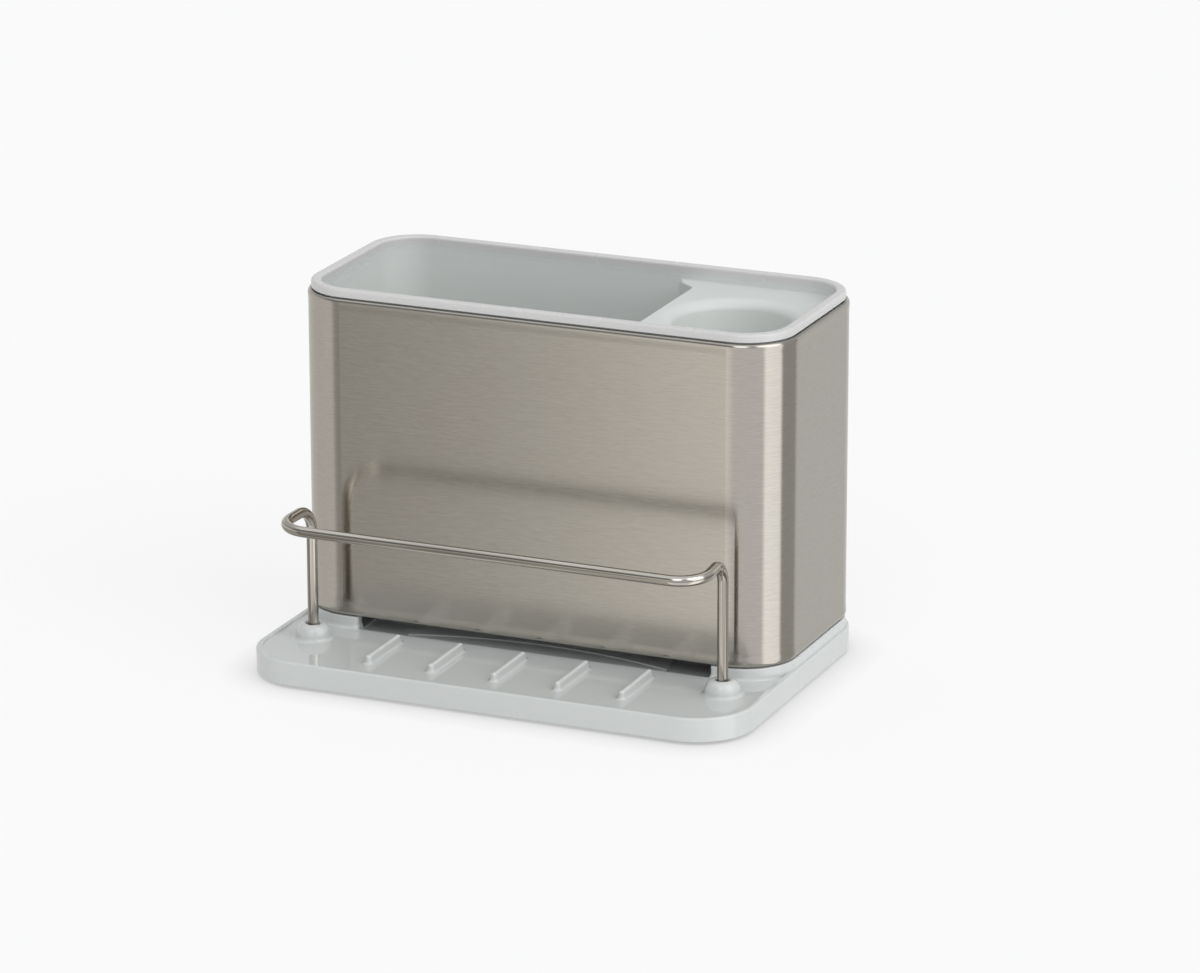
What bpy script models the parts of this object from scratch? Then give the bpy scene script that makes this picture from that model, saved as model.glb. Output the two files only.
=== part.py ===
"""Sink tidy: a draining base tray, a steel sleeve, a lift-out caddy, a wire rail and four feet.

Run it with blender --background --python part.py, or from Blender's text editor.
Metres, +Z up. The origin is on the worktop under the middle of the base tray, and the
front of the tidy looks along -Y.
"""
import math

import bmesh
import bpy
from mathutils import Vector

MM = 0.001

# Overall sizes
WIDTH = 180 * MM
DEPTH = 125 * MM
HEIGHT = 128 * MM
SEAT_GAP = 0.3 * MM         # air left between pieces that rest on or in each other
OVERRUN = 3 * MM            # how far a cutter runs past the face that it opens
WELD = 0.001 * MM           # points closer than this are one point

# Base tray: one glossy moulding, hollow underneath
BASE_LIFT = 1.1 * MM        # height of its lower edge over the worktop
BASE_SIDE = 8.3 * MM        # height of its side
BASE_CORNER = 20.5 * MM
BASE_EDGE = 0.8 * MM        # rounding of the upper edge
BASE_LOWER_EDGE = 0.4 * MM
BASE_SKIN = 2.2 * MM        # thickness of the side wall and of the floor
TRAY_STRIP = 43.3 * MM      # depth of the open tray in front of the sleeve
TRAY_LIP = 2.2 * MM         # width of the raised lip around the tray
TRAY_DIP = 0.9 * MM         # the tray's floor below that lip
TRAY_FILLET = 0.9 * MM

# Plinth under the sleeve, with its drain slot and sloping drip floor
PLINTH_RISE = 3.2 * MM      # its top over the upper edge of the side
PLINTH_LEDGE = 0.4 * MM     # how far its foot stands out at the sides and the back
PLINTH_FLARE = 1.5 * MM     # concave foot where it meets the tray
LOCATOR_RISE = 4.6 * MM     # the wall that holds the sleeve in place, over the plinth
LOCATOR_WALL = 1.6 * MM
LOCATOR_CLEARANCE = 0.5 * MM
LOCATOR_LEAD_IN = 0.8 * MM
SLOT_INSET = 23.7 * MM      # from the sleeve's side to the end of the drain slot
SLOT_CORNER = 1 * MM
DRIP_STEP = 0.7 * MM        # front edge of the drip floor over the tray's floor
DRIP_FALL = 1.6 * MM        # fall of the drip floor from back to front
SPOUT_INSET = 15 * MM       # from the slot's end to the arc where the tray's floor runs in behind it
SPOUT_REACH = 7.4 * MM      # how far that arc runs in

# Ribs that hold soap and sponges clear of the water
RIB_COUNT = 5
RIB_PITCH = 23.1 * MM
RIB_HEIGHT = 2.5 * MM
RIB_TOP = 0.7 * MM          # half the width of the ridge
RIB_FOOT = 2.9 * MM         # half the width of the flared foot
RIB_FRONT = 11.8 * MM       # from the base's front to the front end of the ridge
RIB_BACK = 7 * MM           # from the ridge's back end to the sleeve

# Bosses and sockets that hold the rail
POST_INSET = 14.9 * MM      # from the base's side to the post's centre
POST_SETBACK = 13.6 * MM    # from the sleeve's front to the post's centre
BOSS_HEIGHT = 5.3 * MM
BOSS_TOP = 4.1 * MM         # radius at the top
BOSS_FOOT = 7.9 * MM        # radius of the flared foot
BOSS_EDGE = 0.5 * MM        # chamfer around the top
SOCKET_CLEARANCE = 0.3 * MM
SOCKET_WALL = 2.2 * MM
SOCKET_FLOOR = 1.6 * MM
MOUTH_FLARE = 0.7 * MM      # widening of the bore at its mouth
MOUTH_DEPTH = 1.4 * MM

# Underside: stiffening webs and pockets for the feet
WEB = 1.4 * MM
WEB_CLEARANCE = 1.1 * MM    # the webs' lower edges over the side's lower edge
WEB_PITCH = 45 * MM
WEB_ROWS = 2
FOOT_INSET_X = 20 * MM
FOOT_INSET_Y = 17 * MM
FOOT_RADIUS = 5.6 * MM
FOOT_HEIGHT = 2.6 * MM
FOOT_EDGE = 0.5 * MM
POCKET_WALL = 1.8 * MM
POCKET_INSET = 0.3 * MM     # the pocket's rim over the side's lower edge

# Sleeve: a brushed steel band with rolled edges
SLEEVE_INSET = 1.3 * MM     # from the base's sides and back
SLEEVE_CORNER = 18.6 * MM
SHEET = 0.8 * MM
HEM_HEIGHT = 3.2 * MM
HEM_LEAD = 7.5 * MM         # where the sheet starts to swell towards a rolled edge
TOP_HEM_SWELL = 0.4 * MM    # how far the rolled edge stands out of the sheet
TOP_HEM_WIDTH = 2.5 * MM
FOOT_HEM_SWELL = 0.5 * MM
FOOT_HEM_WIDTH = 2.1 * MM

# Caddy: a moulded liner that hangs in the sleeve by its rim
RIM_HEIGHT = 2.8 * MM
RIM_REACH = 1.5 * MM        # how far the rim stands out over the sleeve's rolled edge
RIM_ROUNDING = 0.9 * MM
CADDY_CLEARANCE = 0.5 * MM  # between its wall and the sleeve's rolled edge
CADDY_WALL = 2 * MM
CADDY_DRAFT = 1.5 * MM      # how much each wall leans in from rim to floor
CADDY_LIFT = 1.3 * MM       # its underside over the locating wall
CADDY_FOOT_EDGE = 1.2 * MM
COMPARTMENT_FILLET = 4 * MM
SHELF_WIDTH = 54.4 * MM     # from the partition to the right wall
SHELF_DROP = 5.9 * MM       # the shelf below the top of the rim
SHELF_FILLET = 1.2 * MM
GUSSET_X = 7 * MM           # flared ends of the partition
GUSSET_Y = 13 * MM
BOWL_MARGIN = 1.8 * MM      # least width of shelf around the bowl
BOWL_LIP = 3 * MM           # rounding of the bowl's lip
BOWL_DEPTH = 34 * MM
BOWL_TAPER = 1.6 * MM       # how much its side closes in before the round bottom
BOWL_BOTTOM = 17 * MM       # height of the round bottom
DRAIN_RADIUS = 2.5 * MM
BOWL_DRAIN_RADIUS = 3 * MM
DRAIN_COLUMNS = 5
DRAIN_ROWS = 3
DRAIN_PITCH = 18 * MM

# Rail: one bent steel wire
WIRE_RADIUS = 1.85 * MM
RAIL_RISE = 46.8 * MM       # centre of the arms over the tray's floor
RAIL_SETBACK = 5 * MM       # from the base's front to the centre of the front wire
RAIL_SPLAY = 1.8 * MM       # each arm runs out sideways by this
RAIL_FALL = 0.8 * MM        # and down by this
POST_BEND = 8.4 * MM
FRONT_BEND = 10.1 * MM
WIRE_END = 0.5 * MM         # chamfer on the wire's ends

# Facets
CORNER_STEPS = 6
FILLET_STEPS = 3
HEM_STEPS = 5
ROUND_SIDES = 24
HOLE_SIDES = 12
WIRE_SIDES = 12
BEND_STEPS = 7

# Heights and places that follow from the sizes above
BASE_TOP = BASE_LIFT + BASE_SIDE
TRAY_FLOOR = BASE_TOP - TRAY_DIP
UNDERSIDE = TRAY_FLOOR - BASE_SKIN
SUNK = (TRAY_FLOOR + UNDERSIDE) / 2
PLINTH_TOP = BASE_TOP + PLINTH_RISE
LOCATOR_TOP = PLINTH_TOP + LOCATOR_RISE
SLEEVE_FOOT = PLINTH_TOP + SEAT_GAP
SLEEVE_TOP = HEIGHT - RIM_HEIGHT - SEAT_GAP
SLEEVE_HALF = WIDTH / 2 - SLEEVE_INSET
SLEEVE_FRONT = -DEPTH / 2 + TRAY_STRIP
SLEEVE_BACK = DEPTH / 2 - SLEEVE_INSET
SLEEVE_MIDDLE = (SLEEVE_FRONT + SLEEVE_BACK) / 2
LOCATOR_GROW = FOOT_HEM_SWELL - FOOT_HEM_WIDTH - LOCATOR_CLEARANCE
CADDY_GROW = TOP_HEM_SWELL - TOP_HEM_WIDTH - CADDY_CLEARANCE
CADDY_FOOT = LOCATOR_TOP + CADDY_LIFT
CADDY_FLOOR = CADDY_FOOT + CADDY_WALL
RIM_FOOT = SLEEVE_TOP + SEAT_GAP
SHELF = HEIGHT - SHELF_DROP
POST_X = WIDTH / 2 - POST_INSET
POST_Y = SLEEVE_FRONT - POST_SETBACK
BOSS_HEAD = TRAY_FLOOR + BOSS_HEIGHT
SOCKET_RADIUS = WIRE_RADIUS + SOCKET_CLEARANCE
SOCKET_END = BASE_LIFT + SOCKET_FLOOR
POCKET_TOP = FOOT_HEIGHT + SEAT_GAP
POCKET_RADIUS = FOOT_RADIUS + SEAT_GAP


def rounded_outline(half_width, front, back, corner, rear_corner=None):
    """Plan points of a rounded rectangle centred on X, counter-clockwise from the right."""
    corner = min(corner, half_width, (back - front) / 2)
    rear = min(rear_corner or corner, half_width, (back - front) / 2)
    corners = ((half_width - rear, back - rear, rear), (rear - half_width, back - rear, rear),
               (corner - half_width, front + corner, corner), (half_width - corner, front + corner, corner))
    points = []
    for quarter, (x, y, corner) in enumerate(corners):
        for step in range(CORNER_STEPS + 1):
            angle = math.pi / 2 * (quarter + step / CORNER_STEPS)
            points.append((x + corner * math.cos(angle), y + corner * math.sin(angle)))
    return points


def circle(x, y, radius, sides=ROUND_SIDES):
    """Plan points of a circle."""
    angles = (2 * math.pi * side / sides for side in range(sides))
    return [(x + radius * math.cos(angle), y + radius * math.sin(angle)) for angle in angles]


def level(points, z):
    """The plan points at one height."""
    return [Vector((x, y, z)) for x, y in points]


def base_ring(grow, z):
    """The base tray's outline, moved outwards by grow."""
    outline = rounded_outline(WIDTH / 2 + grow, -DEPTH / 2 - grow, DEPTH / 2 + grow, BASE_CORNER + grow)
    return level(outline, z)


def sleeve_ring(grow, z):
    """The sleeve's outer outline, moved outwards by grow."""
    corner = max(SLEEVE_CORNER + grow, RIM_ROUNDING)
    return level(rounded_outline(SLEEVE_HALF + grow, SLEEVE_FRONT - grow, SLEEVE_BACK + grow, corner), z)


def hollow_fillet(radius):
    """(distance from the wall, height) along a concave fillet, from the floor up the wall."""
    angles = [math.pi / 2 * step / FILLET_STEPS for step in range(FILLET_STEPS + 1)]
    return [(radius * (1 - math.sin(angle)), radius * (1 - math.cos(angle))) for angle in angles]


def flare(reach, height):
    """(distance, rise) up a concave flare, whose first facet starts below the floor that it stands on."""
    curve = hollow_fillet(1)
    start = [2 * here - after for here, after in zip(curve[0], curve[1])]
    return [(reach * away, height * rise) for away, rise in [start] + curve[1:]]


def round_edge(radius):
    """(inset from the side, drop from the top) along a rounded edge, from the side to the top."""
    angles = [math.pi / 2 * step / FILLET_STEPS for step in range(FILLET_STEPS + 1)]
    return [(radius * (1 - math.cos(angle)), radius * (1 - math.sin(angle))) for angle in angles]


def solid(name, rings, loop=False):
    """A closed body through rings of equal count, capped at both ends or closed on itself."""
    bm = bmesh.new()
    rows = [[bm.verts.new(point) for point in ring] for ring in rings]
    for lower, upper in zip(rows, rows[1:] + rows[:1] if loop else rows[1:]):
        for here in range(len(lower)):
            after = (here + 1) % len(lower)
            bm.faces.new((lower[here], lower[after], upper[after], upper[here]))
    if not loop:
        bm.faces.new(rows[0][::-1])
        bm.faces.new(rows[-1])
    bmesh.ops.recalc_face_normals(bm, faces=bm.faces)
    mesh = bpy.data.meshes.new(name)
    bm.to_mesh(mesh)
    bm.free()
    piece = bpy.data.objects.new(name, mesh)
    bpy.context.scene.collection.objects.link(piece)
    return piece


def turned(name, x, y, profile, sides=ROUND_SIDES):
    """A body turned about a vertical axis from (radius, height) pairs."""
    return solid(name, [level(circle(x, y, radius, sides), z) for radius, z in profile])


def block(name, low, high):
    """A plain box between two corners."""
    plan = [(low[0], low[1]), (high[0], low[1]), (high[0], high[1]), (low[0], high[1])]
    return solid(name, [level(plan, low[2]), level(plan, high[2])])


def combine(target, tool, operation):
    """Joins the tool to the target or cuts it out, and removes the tool."""
    modifier = target.modifiers.new(operation, "BOOLEAN")
    modifier.operation = operation
    modifier.object = tool
    evaluated = target.evaluated_get(bpy.context.evaluated_depsgraph_get())
    joined = bmesh.new()
    joined.from_mesh(evaluated.data)
    bmesh.ops.remove_doubles(joined, verts=joined.verts, dist=WELD)
    target.modifiers.clear()
    joined.to_mesh(target.data)
    joined.free()
    bpy.data.objects.remove(tool)


def finish(piece, colour, roughness, metallic=0.0):
    """Gives the piece its own material and smooth shading between its edges."""
    material = bpy.data.materials.new(piece.name)
    material.use_nodes = True
    shader = material.node_tree.nodes["Principled BSDF"]
    shader.inputs["Base Color"].default_value = (*colour, 1.0)
    shader.inputs["Roughness"].default_value = roughness
    shader.inputs["Metallic"].default_value = metallic
    piece.data.materials.clear()
    piece.data.materials.append(material)
    piece.data.shade_smooth()
    piece.data.set_sharp_from_angle(angle=math.radians(35))
    return piece


def foot_places():
    """The centres of the four feet with their names."""
    x, y = WIDTH / 2 - FOOT_INSET_X, DEPTH / 2 - FOOT_INSET_Y
    return {"foot_front_left": (-x, -y), "foot_front_right": (x, -y),
            "foot_rear_left": (-x, y), "foot_rear_right": (x, y)}


def base_shell():
    """The base's outer body with the dished tray cut into its top."""
    rings = [base_ring(-BASE_LOWER_EDGE, BASE_LIFT), base_ring(0, BASE_LIFT + BASE_LOWER_EDGE)]
    rings += [base_ring(-inset, BASE_TOP - drop) for inset, drop in round_edge(BASE_EDGE)]
    base = solid("base_tray", rings)
    dish = [base_ring(-TRAY_LIP - away, TRAY_FLOOR + rise) for away, rise in hollow_fillet(TRAY_FILLET)]
    dish.append(base_ring(-TRAY_LIP, BASE_TOP + OVERRUN))
    combine(base, solid("dish", dish), "DIFFERENCE")
    return base


def plinth_ring(reach, ledge, z):
    """The plinth's outline: its reach to the front, its ledge at the sides and round the rear corners."""
    front, back = SLEEVE_FRONT - reach, SLEEVE_BACK + ledge
    rear_corner = max(BASE_CORNER - SLEEVE_INSET + ledge, RIM_ROUNDING)
    return level(rounded_outline(SLEEVE_HALF + ledge, front, back, SLEEVE_CORNER + reach, rear_corner), z)


def drip_cutter():
    """The hollow inside the locating wall, whose floor falls towards the front."""
    grow = LOCATOR_GROW - LOCATOR_WALL
    floor = sleeve_ring(grow, 0)
    front, back = SLEEVE_FRONT - grow, SLEEVE_BACK + grow
    for point in floor:
        point.z = TRAY_FLOOR + DRIP_STEP + DRIP_FALL * (point.y - front) / (back - front)
    return solid("drip_floor", [floor, sleeve_ring(grow, LOCATOR_TOP + OVERRUN)])


def slot_cutter():
    """The drain slot through the front of the plinth, down to the tray's floor."""
    half = SLEEVE_HALF - SLOT_INSET
    inner = SLEEVE_FRONT - LOCATOR_GROW + LOCATOR_WALL
    corner = hollow_fillet(SLOT_CORNER)
    section = [(half - away, TRAY_FLOOR + rise) for away, rise in corner]
    section += [(half, LOCATOR_TOP + OVERRUN), (-half, LOCATOR_TOP + OVERRUN)]
    section += [(away - half, TRAY_FLOOR + rise) for away, rise in reversed(corner)]
    front = SLEEVE_FRONT - PLINTH_FLARE - OVERRUN
    return solid("slot", [[Vector((x, y, z)) for x, z in section] for y in (front, inner + SLOT_CORNER)])


def spout_cutter():
    """The shallow arc in plan by which the tray's floor runs in behind the slot."""
    start = SLEEVE_FRONT - LOCATOR_GROW + LOCATOR_WALL
    half = SLEEVE_HALF - SLOT_INSET - SPOUT_INSET
    radius = (half ** 2 + SPOUT_REACH ** 2) / (2 * SPOUT_REACH)
    spread = math.asin(half / radius)
    arc = []
    for step in range(2 * CORNER_STEPS + 1):
        angle = spread * (1 - step / CORNER_STEPS)
        arc.append((radius * math.sin(angle), start + SPOUT_REACH - radius * (1 - math.cos(angle))))
    plan = [(half, start - SLOT_CORNER)] + arc + [(-half, start - SLOT_CORNER)]
    return solid("spout", [level(plan, TRAY_FLOOR), level(plan, PLINTH_TOP)])


def add_plinth(base):
    """Raises the plinth and its locating wall, and opens the drip floor, slot and spout."""
    foot = flare(PLINTH_FLARE, PLINTH_FLARE)
    rings = [plinth_ring(foot[0][0], PLINTH_LEDGE, SUNK)]
    rings += [plinth_ring(away, PLINTH_LEDGE, TRAY_FLOOR + rise) for away, rise in foot]
    rings.append(plinth_ring(0, 0, PLINTH_TOP))
    combine(base, solid("plinth", rings), "UNION")
    locator = [sleeve_ring(LOCATOR_GROW, BASE_TOP), sleeve_ring(LOCATOR_GROW, LOCATOR_TOP - LOCATOR_LEAD_IN),
               sleeve_ring(LOCATOR_GROW - LOCATOR_WALL / 2, LOCATOR_TOP)]
    combine(base, solid("locator", locator), "UNION")
    for cutter in (drip_cutter(), slot_cutter(), spout_cutter()):
        combine(base, cutter, "DIFFERENCE")


def add_ribs(base):
    """Raises the flared ribs across the tray."""
    front, back = -DEPTH / 2 + RIB_FRONT, SLEEVE_FRONT - RIB_BACK
    waist = RIB_TOP * 2
    section = [(waist + away, TRAY_FLOOR + rise) for away, rise in flare(RIB_FOOT - waist, RIB_HEIGHT / 2)]
    section.insert(0, (section[0][0], SUNK))
    section += [(RIB_TOP, TRAY_FLOOR + RIB_HEIGHT - RIB_TOP / 2), (RIB_TOP / 2, TRAY_FLOOR + RIB_HEIGHT)]
    for index in range(RIB_COUNT):
        x = RIB_PITCH * (index - (RIB_COUNT - 1) / 2)
        rings = []
        for half, z in section:
            ridge = rounded_outline(half, front - half + RIB_TOP, back + half - RIB_TOP, half)
            rings.append([Vector((x + point[0], point[1], z)) for point in ridge])
        combine(base, solid("rib", rings), "UNION")


def add_bosses(base):
    """Raises the flared bosses that the rail's posts stand in."""
    side = flare(BOSS_FOOT - BOSS_TOP, BOSS_HEIGHT - BOSS_EDGE)
    profile = [(BOSS_TOP + away, TRAY_FLOOR + rise) for away, rise in side]
    profile.insert(0, (profile[0][0], SUNK))
    profile.append((BOSS_TOP - BOSS_EDGE, BOSS_HEAD))
    for x in (-POST_X, POST_X):
        combine(base, turned("boss", x, POST_Y, profile), "UNION")


def web_lines(span, count):
    """Evenly spread places of the webs across a span."""
    return [span * (index / (count + 1) - 1 / 2) for index in range(1, count + 1)]


def hollow_underside(base):
    """Cuts the underside, and leaves the webs, the sockets' walls and the feet's pockets standing."""
    cavity = solid("cavity", [base_ring(-BASE_SKIN, BASE_LIFT - OVERRUN), base_ring(-BASE_SKIN, UNDERSIDE)])
    low, high = BASE_LIFT + WEB_CLEARANCE, UNDERSIDE + OVERRUN
    columns = max(int(WIDTH / WEB_PITCH) - 1, 1)
    for x in web_lines(columns * WEB_PITCH + WEB_PITCH, columns):
        web = block("web", (x - WEB / 2, -DEPTH, low), (x + WEB / 2, DEPTH, high))
        combine(cavity, web, "DIFFERENCE")
    for y in web_lines(DEPTH, WEB_ROWS):
        web = block("web", (-WIDTH, y - WEB / 2, low), (WIDTH, y + WEB / 2, high))
        combine(cavity, web, "DIFFERENCE")
    for x in (-POST_X, POST_X):
        wall = [(SOCKET_RADIUS + SOCKET_WALL, BASE_LIFT), (SOCKET_RADIUS + SOCKET_WALL, high)]
        combine(cavity, turned("socket_wall", x, POST_Y, wall), "DIFFERENCE")
    for x, y in foot_places().values():
        ring = [(POCKET_RADIUS + POCKET_WALL, BASE_LIFT + POCKET_INSET), (POCKET_RADIUS + POCKET_WALL, high)]
        combine(cavity, turned("pocket_wall", x, y, ring), "DIFFERENCE")
    combine(base, cavity, "DIFFERENCE")


def bore_base(base):
    """Opens the rail's sockets from above and the feet's pockets from below."""
    for x in (-POST_X, POST_X):
        bore = [(SOCKET_RADIUS, SOCKET_END), (SOCKET_RADIUS, BOSS_HEAD - MOUTH_DEPTH),
                (SOCKET_RADIUS + MOUTH_FLARE, BOSS_HEAD), (SOCKET_RADIUS + MOUTH_FLARE, BOSS_HEAD + OVERRUN)]
        combine(base, turned("bore", x, POST_Y, bore), "DIFFERENCE")
    for x, y in foot_places().values():
        pocket = [(POCKET_RADIUS, BASE_LIFT - OVERRUN), (POCKET_RADIUS, POCKET_TOP)]
        combine(base, turned("pocket", x, y, pocket), "DIFFERENCE")


def make_base():
    """The base tray."""
    base = base_shell()
    add_plinth(base)
    add_ribs(base)
    add_bosses(base)
    hollow_underside(base)
    bore_base(base)
    return finish(base, (0.60, 0.63, 0.62), 0.15)


def hem(end, inward, swell, width):
    """(grow, height) around a rolled edge, from the sheet's outside round the end to its inside."""
    middle = end + inward * HEM_HEIGHT / 2
    points = [(0.0, end + inward * HEM_LEAD), (swell / 2, end + inward * (HEM_LEAD + HEM_HEIGHT) / 2)]
    for step in range(HEM_STEPS + 1):
        angle = math.pi * step / HEM_STEPS
        grow = swell - width / 2 * (1 - math.cos(angle))
        points.append((grow, middle - inward * HEM_HEIGHT / 2 * math.sin(angle)))
    points.append((-SHEET, end + inward * (HEM_HEIGHT + SHEET)))
    return points


def make_sleeve():
    """The steel sleeve: one profile with both rolled edges, carried round the outline."""
    foot = hem(SLEEVE_FOOT, 1, FOOT_HEM_SWELL, FOOT_HEM_WIDTH)
    top = hem(SLEEVE_TOP, -1, TOP_HEM_SWELL, TOP_HEM_WIDTH)
    profile = foot + top[::-1]
    sleeve = solid("sleeve", [sleeve_ring(grow, z) for grow, z in profile], loop=True)
    return finish(sleeve, (0.42, 0.40, 0.37), 0.32, metallic=1.0)


def caddy_lean(z):
    """How far a caddy wall has leaned in at a height, by its draft."""
    return CADDY_DRAFT * (RIM_FOOT - z) / (RIM_FOOT - CADDY_FOOT)


def caddy_inside(grow=0.0):
    """Half width, front, back and corner of the caddy's inner outline at the rim."""
    grow += CADDY_GROW - CADDY_WALL
    corner = max(SLEEVE_CORNER + grow, RIM_ROUNDING)
    return SLEEVE_HALF + grow, SLEEVE_FRONT - grow, SLEEVE_BACK + grow, corner


def caddy_body():
    """The caddy's outside, from its foot up to the rim that hangs on the sleeve."""
    rings = []
    for inset, rise in reversed(round_edge(CADDY_FOOT_EDGE)):
        z = CADDY_FOOT + rise
        rings.append(sleeve_ring(CADDY_GROW - caddy_lean(z) - inset, z))
    rings.append(sleeve_ring(CADDY_GROW, RIM_FOOT))
    rim = CADDY_GROW + RIM_REACH
    rings.append(sleeve_ring(rim, RIM_FOOT))
    rings += [sleeve_ring(rim - inset, HEIGHT - drop) for inset, drop in round_edge(RIM_ROUNDING)]
    return solid("caddy", rings)


def rim_cutter():
    """The opening above the shelf, with the rim's rounded inner edge."""
    half, front, back, corner = caddy_inside()
    rings = []
    for away, rise in hollow_fillet(SHELF_FILLET):
        plan = rounded_outline(half - away, front + away, back - away, max(corner - away, RIM_ROUNDING))
        rings.append(level(plan, SHELF + rise))
    for inset, drop in round_edge(RIM_ROUNDING):
        plan = rounded_outline(half + inset, front - inset, back + inset, corner + inset)
        rings.append(level(plan, HEIGHT - drop))
    rings.append(level(plan, HEIGHT + OVERRUN))
    return solid("rim_opening", rings)


def compartment_plan(inset, partition):
    """Plan of the main compartment: round corners on the left, flared partition on the right."""
    half, front, back, corner = caddy_inside(-inset)
    points = []
    for quarter, y in ((1, back - corner), (2, front + corner)):
        for step in range(CORNER_STEPS + 1):
            angle = math.pi / 2 * (quarter + step / CORNER_STEPS)
            points.append((corner - half + corner * math.cos(angle), y + corner * math.sin(angle)))
    points += [(partition - GUSSET_X, front), (partition, front + GUSSET_Y)]
    points += [(partition, back - GUSSET_Y), (partition - GUSSET_X, back)]
    return points


def compartment_cutter():
    """The main compartment, with draft and a rounded floor."""
    edge = caddy_inside()[0] - SHELF_WIDTH
    rings = []
    for away, rise in hollow_fillet(COMPARTMENT_FILLET):
        z = CADDY_FLOOR + rise
        lean = caddy_lean(z)
        rings.append(level(compartment_plan(lean + away, edge - lean - away), z))
    over = SHELF + SHELF_FILLET
    rings.append(level(compartment_plan(caddy_lean(over), edge - caddy_lean(over)), over))
    return solid("compartment", rings)


def bowl_place():
    """Centre and lip radius of the bowl: as wide as the shelf lets it be."""
    half, front, back, _ = caddy_inside()
    radius = min(SHELF_WIDTH, back - front) / 2 - BOWL_MARGIN
    return half - SHELF_WIDTH / 2, SLEEVE_MIDDLE, radius


def bowl_profile(grow):
    """(radius, height) down the bowl from its lip, moved outwards by grow."""
    throat = bowl_place()[2] - BOWL_LIP
    profile = [(throat + inset + grow, SHELF - drop) for inset, drop in reversed(round_edge(BOWL_LIP))]
    spring = SHELF - BOWL_DEPTH + BOWL_BOTTOM
    for step in range(2 * FILLET_STEPS):
        angle = math.pi / 2 * step / (2 * FILLET_STEPS)
        radius = (throat - BOWL_TAPER + grow) * math.cos(angle)
        profile.append((radius, spring - (BOWL_BOTTOM + grow) * math.sin(angle)))
    profile.append((BOWL_DRAIN_RADIUS, SHELF - BOWL_DEPTH - grow))
    return profile


def skirt_plan(lean, partition):
    """Plan of the space under the shelf, which follows the flared partition."""
    half, front, back, corner = caddy_inside(-lean)
    points = [(partition, back - GUSSET_Y), (partition, front + GUSSET_Y), (partition - GUSSET_X, front)]
    for quarter, y in ((3, front + corner), (4, back - corner)):
        for step in range(CORNER_STEPS + 1):
            angle = math.pi / 2 * (quarter + step / CORNER_STEPS)
            points.append((half - corner + corner * math.cos(angle), y + corner * math.sin(angle)))
    points.append((partition - GUSSET_X, back))
    return points


def skirt_cutter():
    """The space under the shelf and around the bowl, open below."""
    edge = caddy_inside()[0] - SHELF_WIDTH + CADDY_WALL
    low, high = CADDY_FOOT - OVERRUN, SHELF - CADDY_WALL
    rings = [level(skirt_plan(caddy_lean(z), edge), z) for z in (low, high)]
    skirt = solid("skirt", rings)
    x, y, _ = bowl_place()
    combine(skirt, turned("bowl_wall", x, y, bowl_profile(CADDY_WALL)), "DIFFERENCE")
    return skirt


def drain_cutters():
    """The drain holes in the compartment's floor and at the bottom of the bowl."""
    middle = -SHELF_WIDTH / 2
    for column in range(DRAIN_COLUMNS):
        for row in range(DRAIN_ROWS):
            x = middle + DRAIN_PITCH * (column - (DRAIN_COLUMNS - 1) / 2)
            y = SLEEVE_MIDDLE + DRAIN_PITCH * (row - (DRAIN_ROWS - 1) / 2)
            hole = [(DRAIN_RADIUS, CADDY_FOOT - OVERRUN), (DRAIN_RADIUS, CADDY_FLOOR + OVERRUN)]
            yield turned("drain", x, y, hole, HOLE_SIDES)
    x, y, _ = bowl_place()
    bottom = SHELF - BOWL_DEPTH
    hole = [(BOWL_DRAIN_RADIUS, bottom - CADDY_WALL - OVERRUN), (BOWL_DRAIN_RADIUS, bottom + OVERRUN)]
    yield turned("bowl_drain", x, y, hole, HOLE_SIDES)


def make_caddy():
    """The caddy: a rim, a tall compartment, and a shelf with a round bowl."""
    caddy = caddy_body()
    combine(caddy, rim_cutter(), "DIFFERENCE")
    combine(caddy, compartment_cutter(), "DIFFERENCE")
    combine(caddy, skirt_cutter(), "DIFFERENCE")
    x, y, radius = bowl_place()
    bowl = [(radius, SHELF + SHELF_FILLET / 2)] + bowl_profile(0.0)
    combine(caddy, turned("bowl", x, y, bowl), "DIFFERENCE")
    for cutter in drain_cutters():
        combine(caddy, cutter, "DIFFERENCE")
    return finish(caddy, (0.60, 0.63, 0.62), 0.35)


def bent_path(corners, radii):
    """Points along straight runs joined by round bends."""
    path = [corners[0]]
    for before, corner, after, radius in zip(corners, corners[1:], corners[2:], radii):
        back, ahead = (before - corner).normalized(), (after - corner).normalized()
        turn = math.pi - back.angle(ahead)
        trim = radius * math.tan(turn / 2)
        start = corner + back * trim
        side = (ahead + back * math.cos(turn)).normalized()
        for step in range(BEND_STEPS + 1):
            angle = turn * step / BEND_STEPS
            path.append(start - back * radius * math.sin(angle) + side * radius * (1 - math.cos(angle)))
    return path + [corners[-1]]


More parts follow.
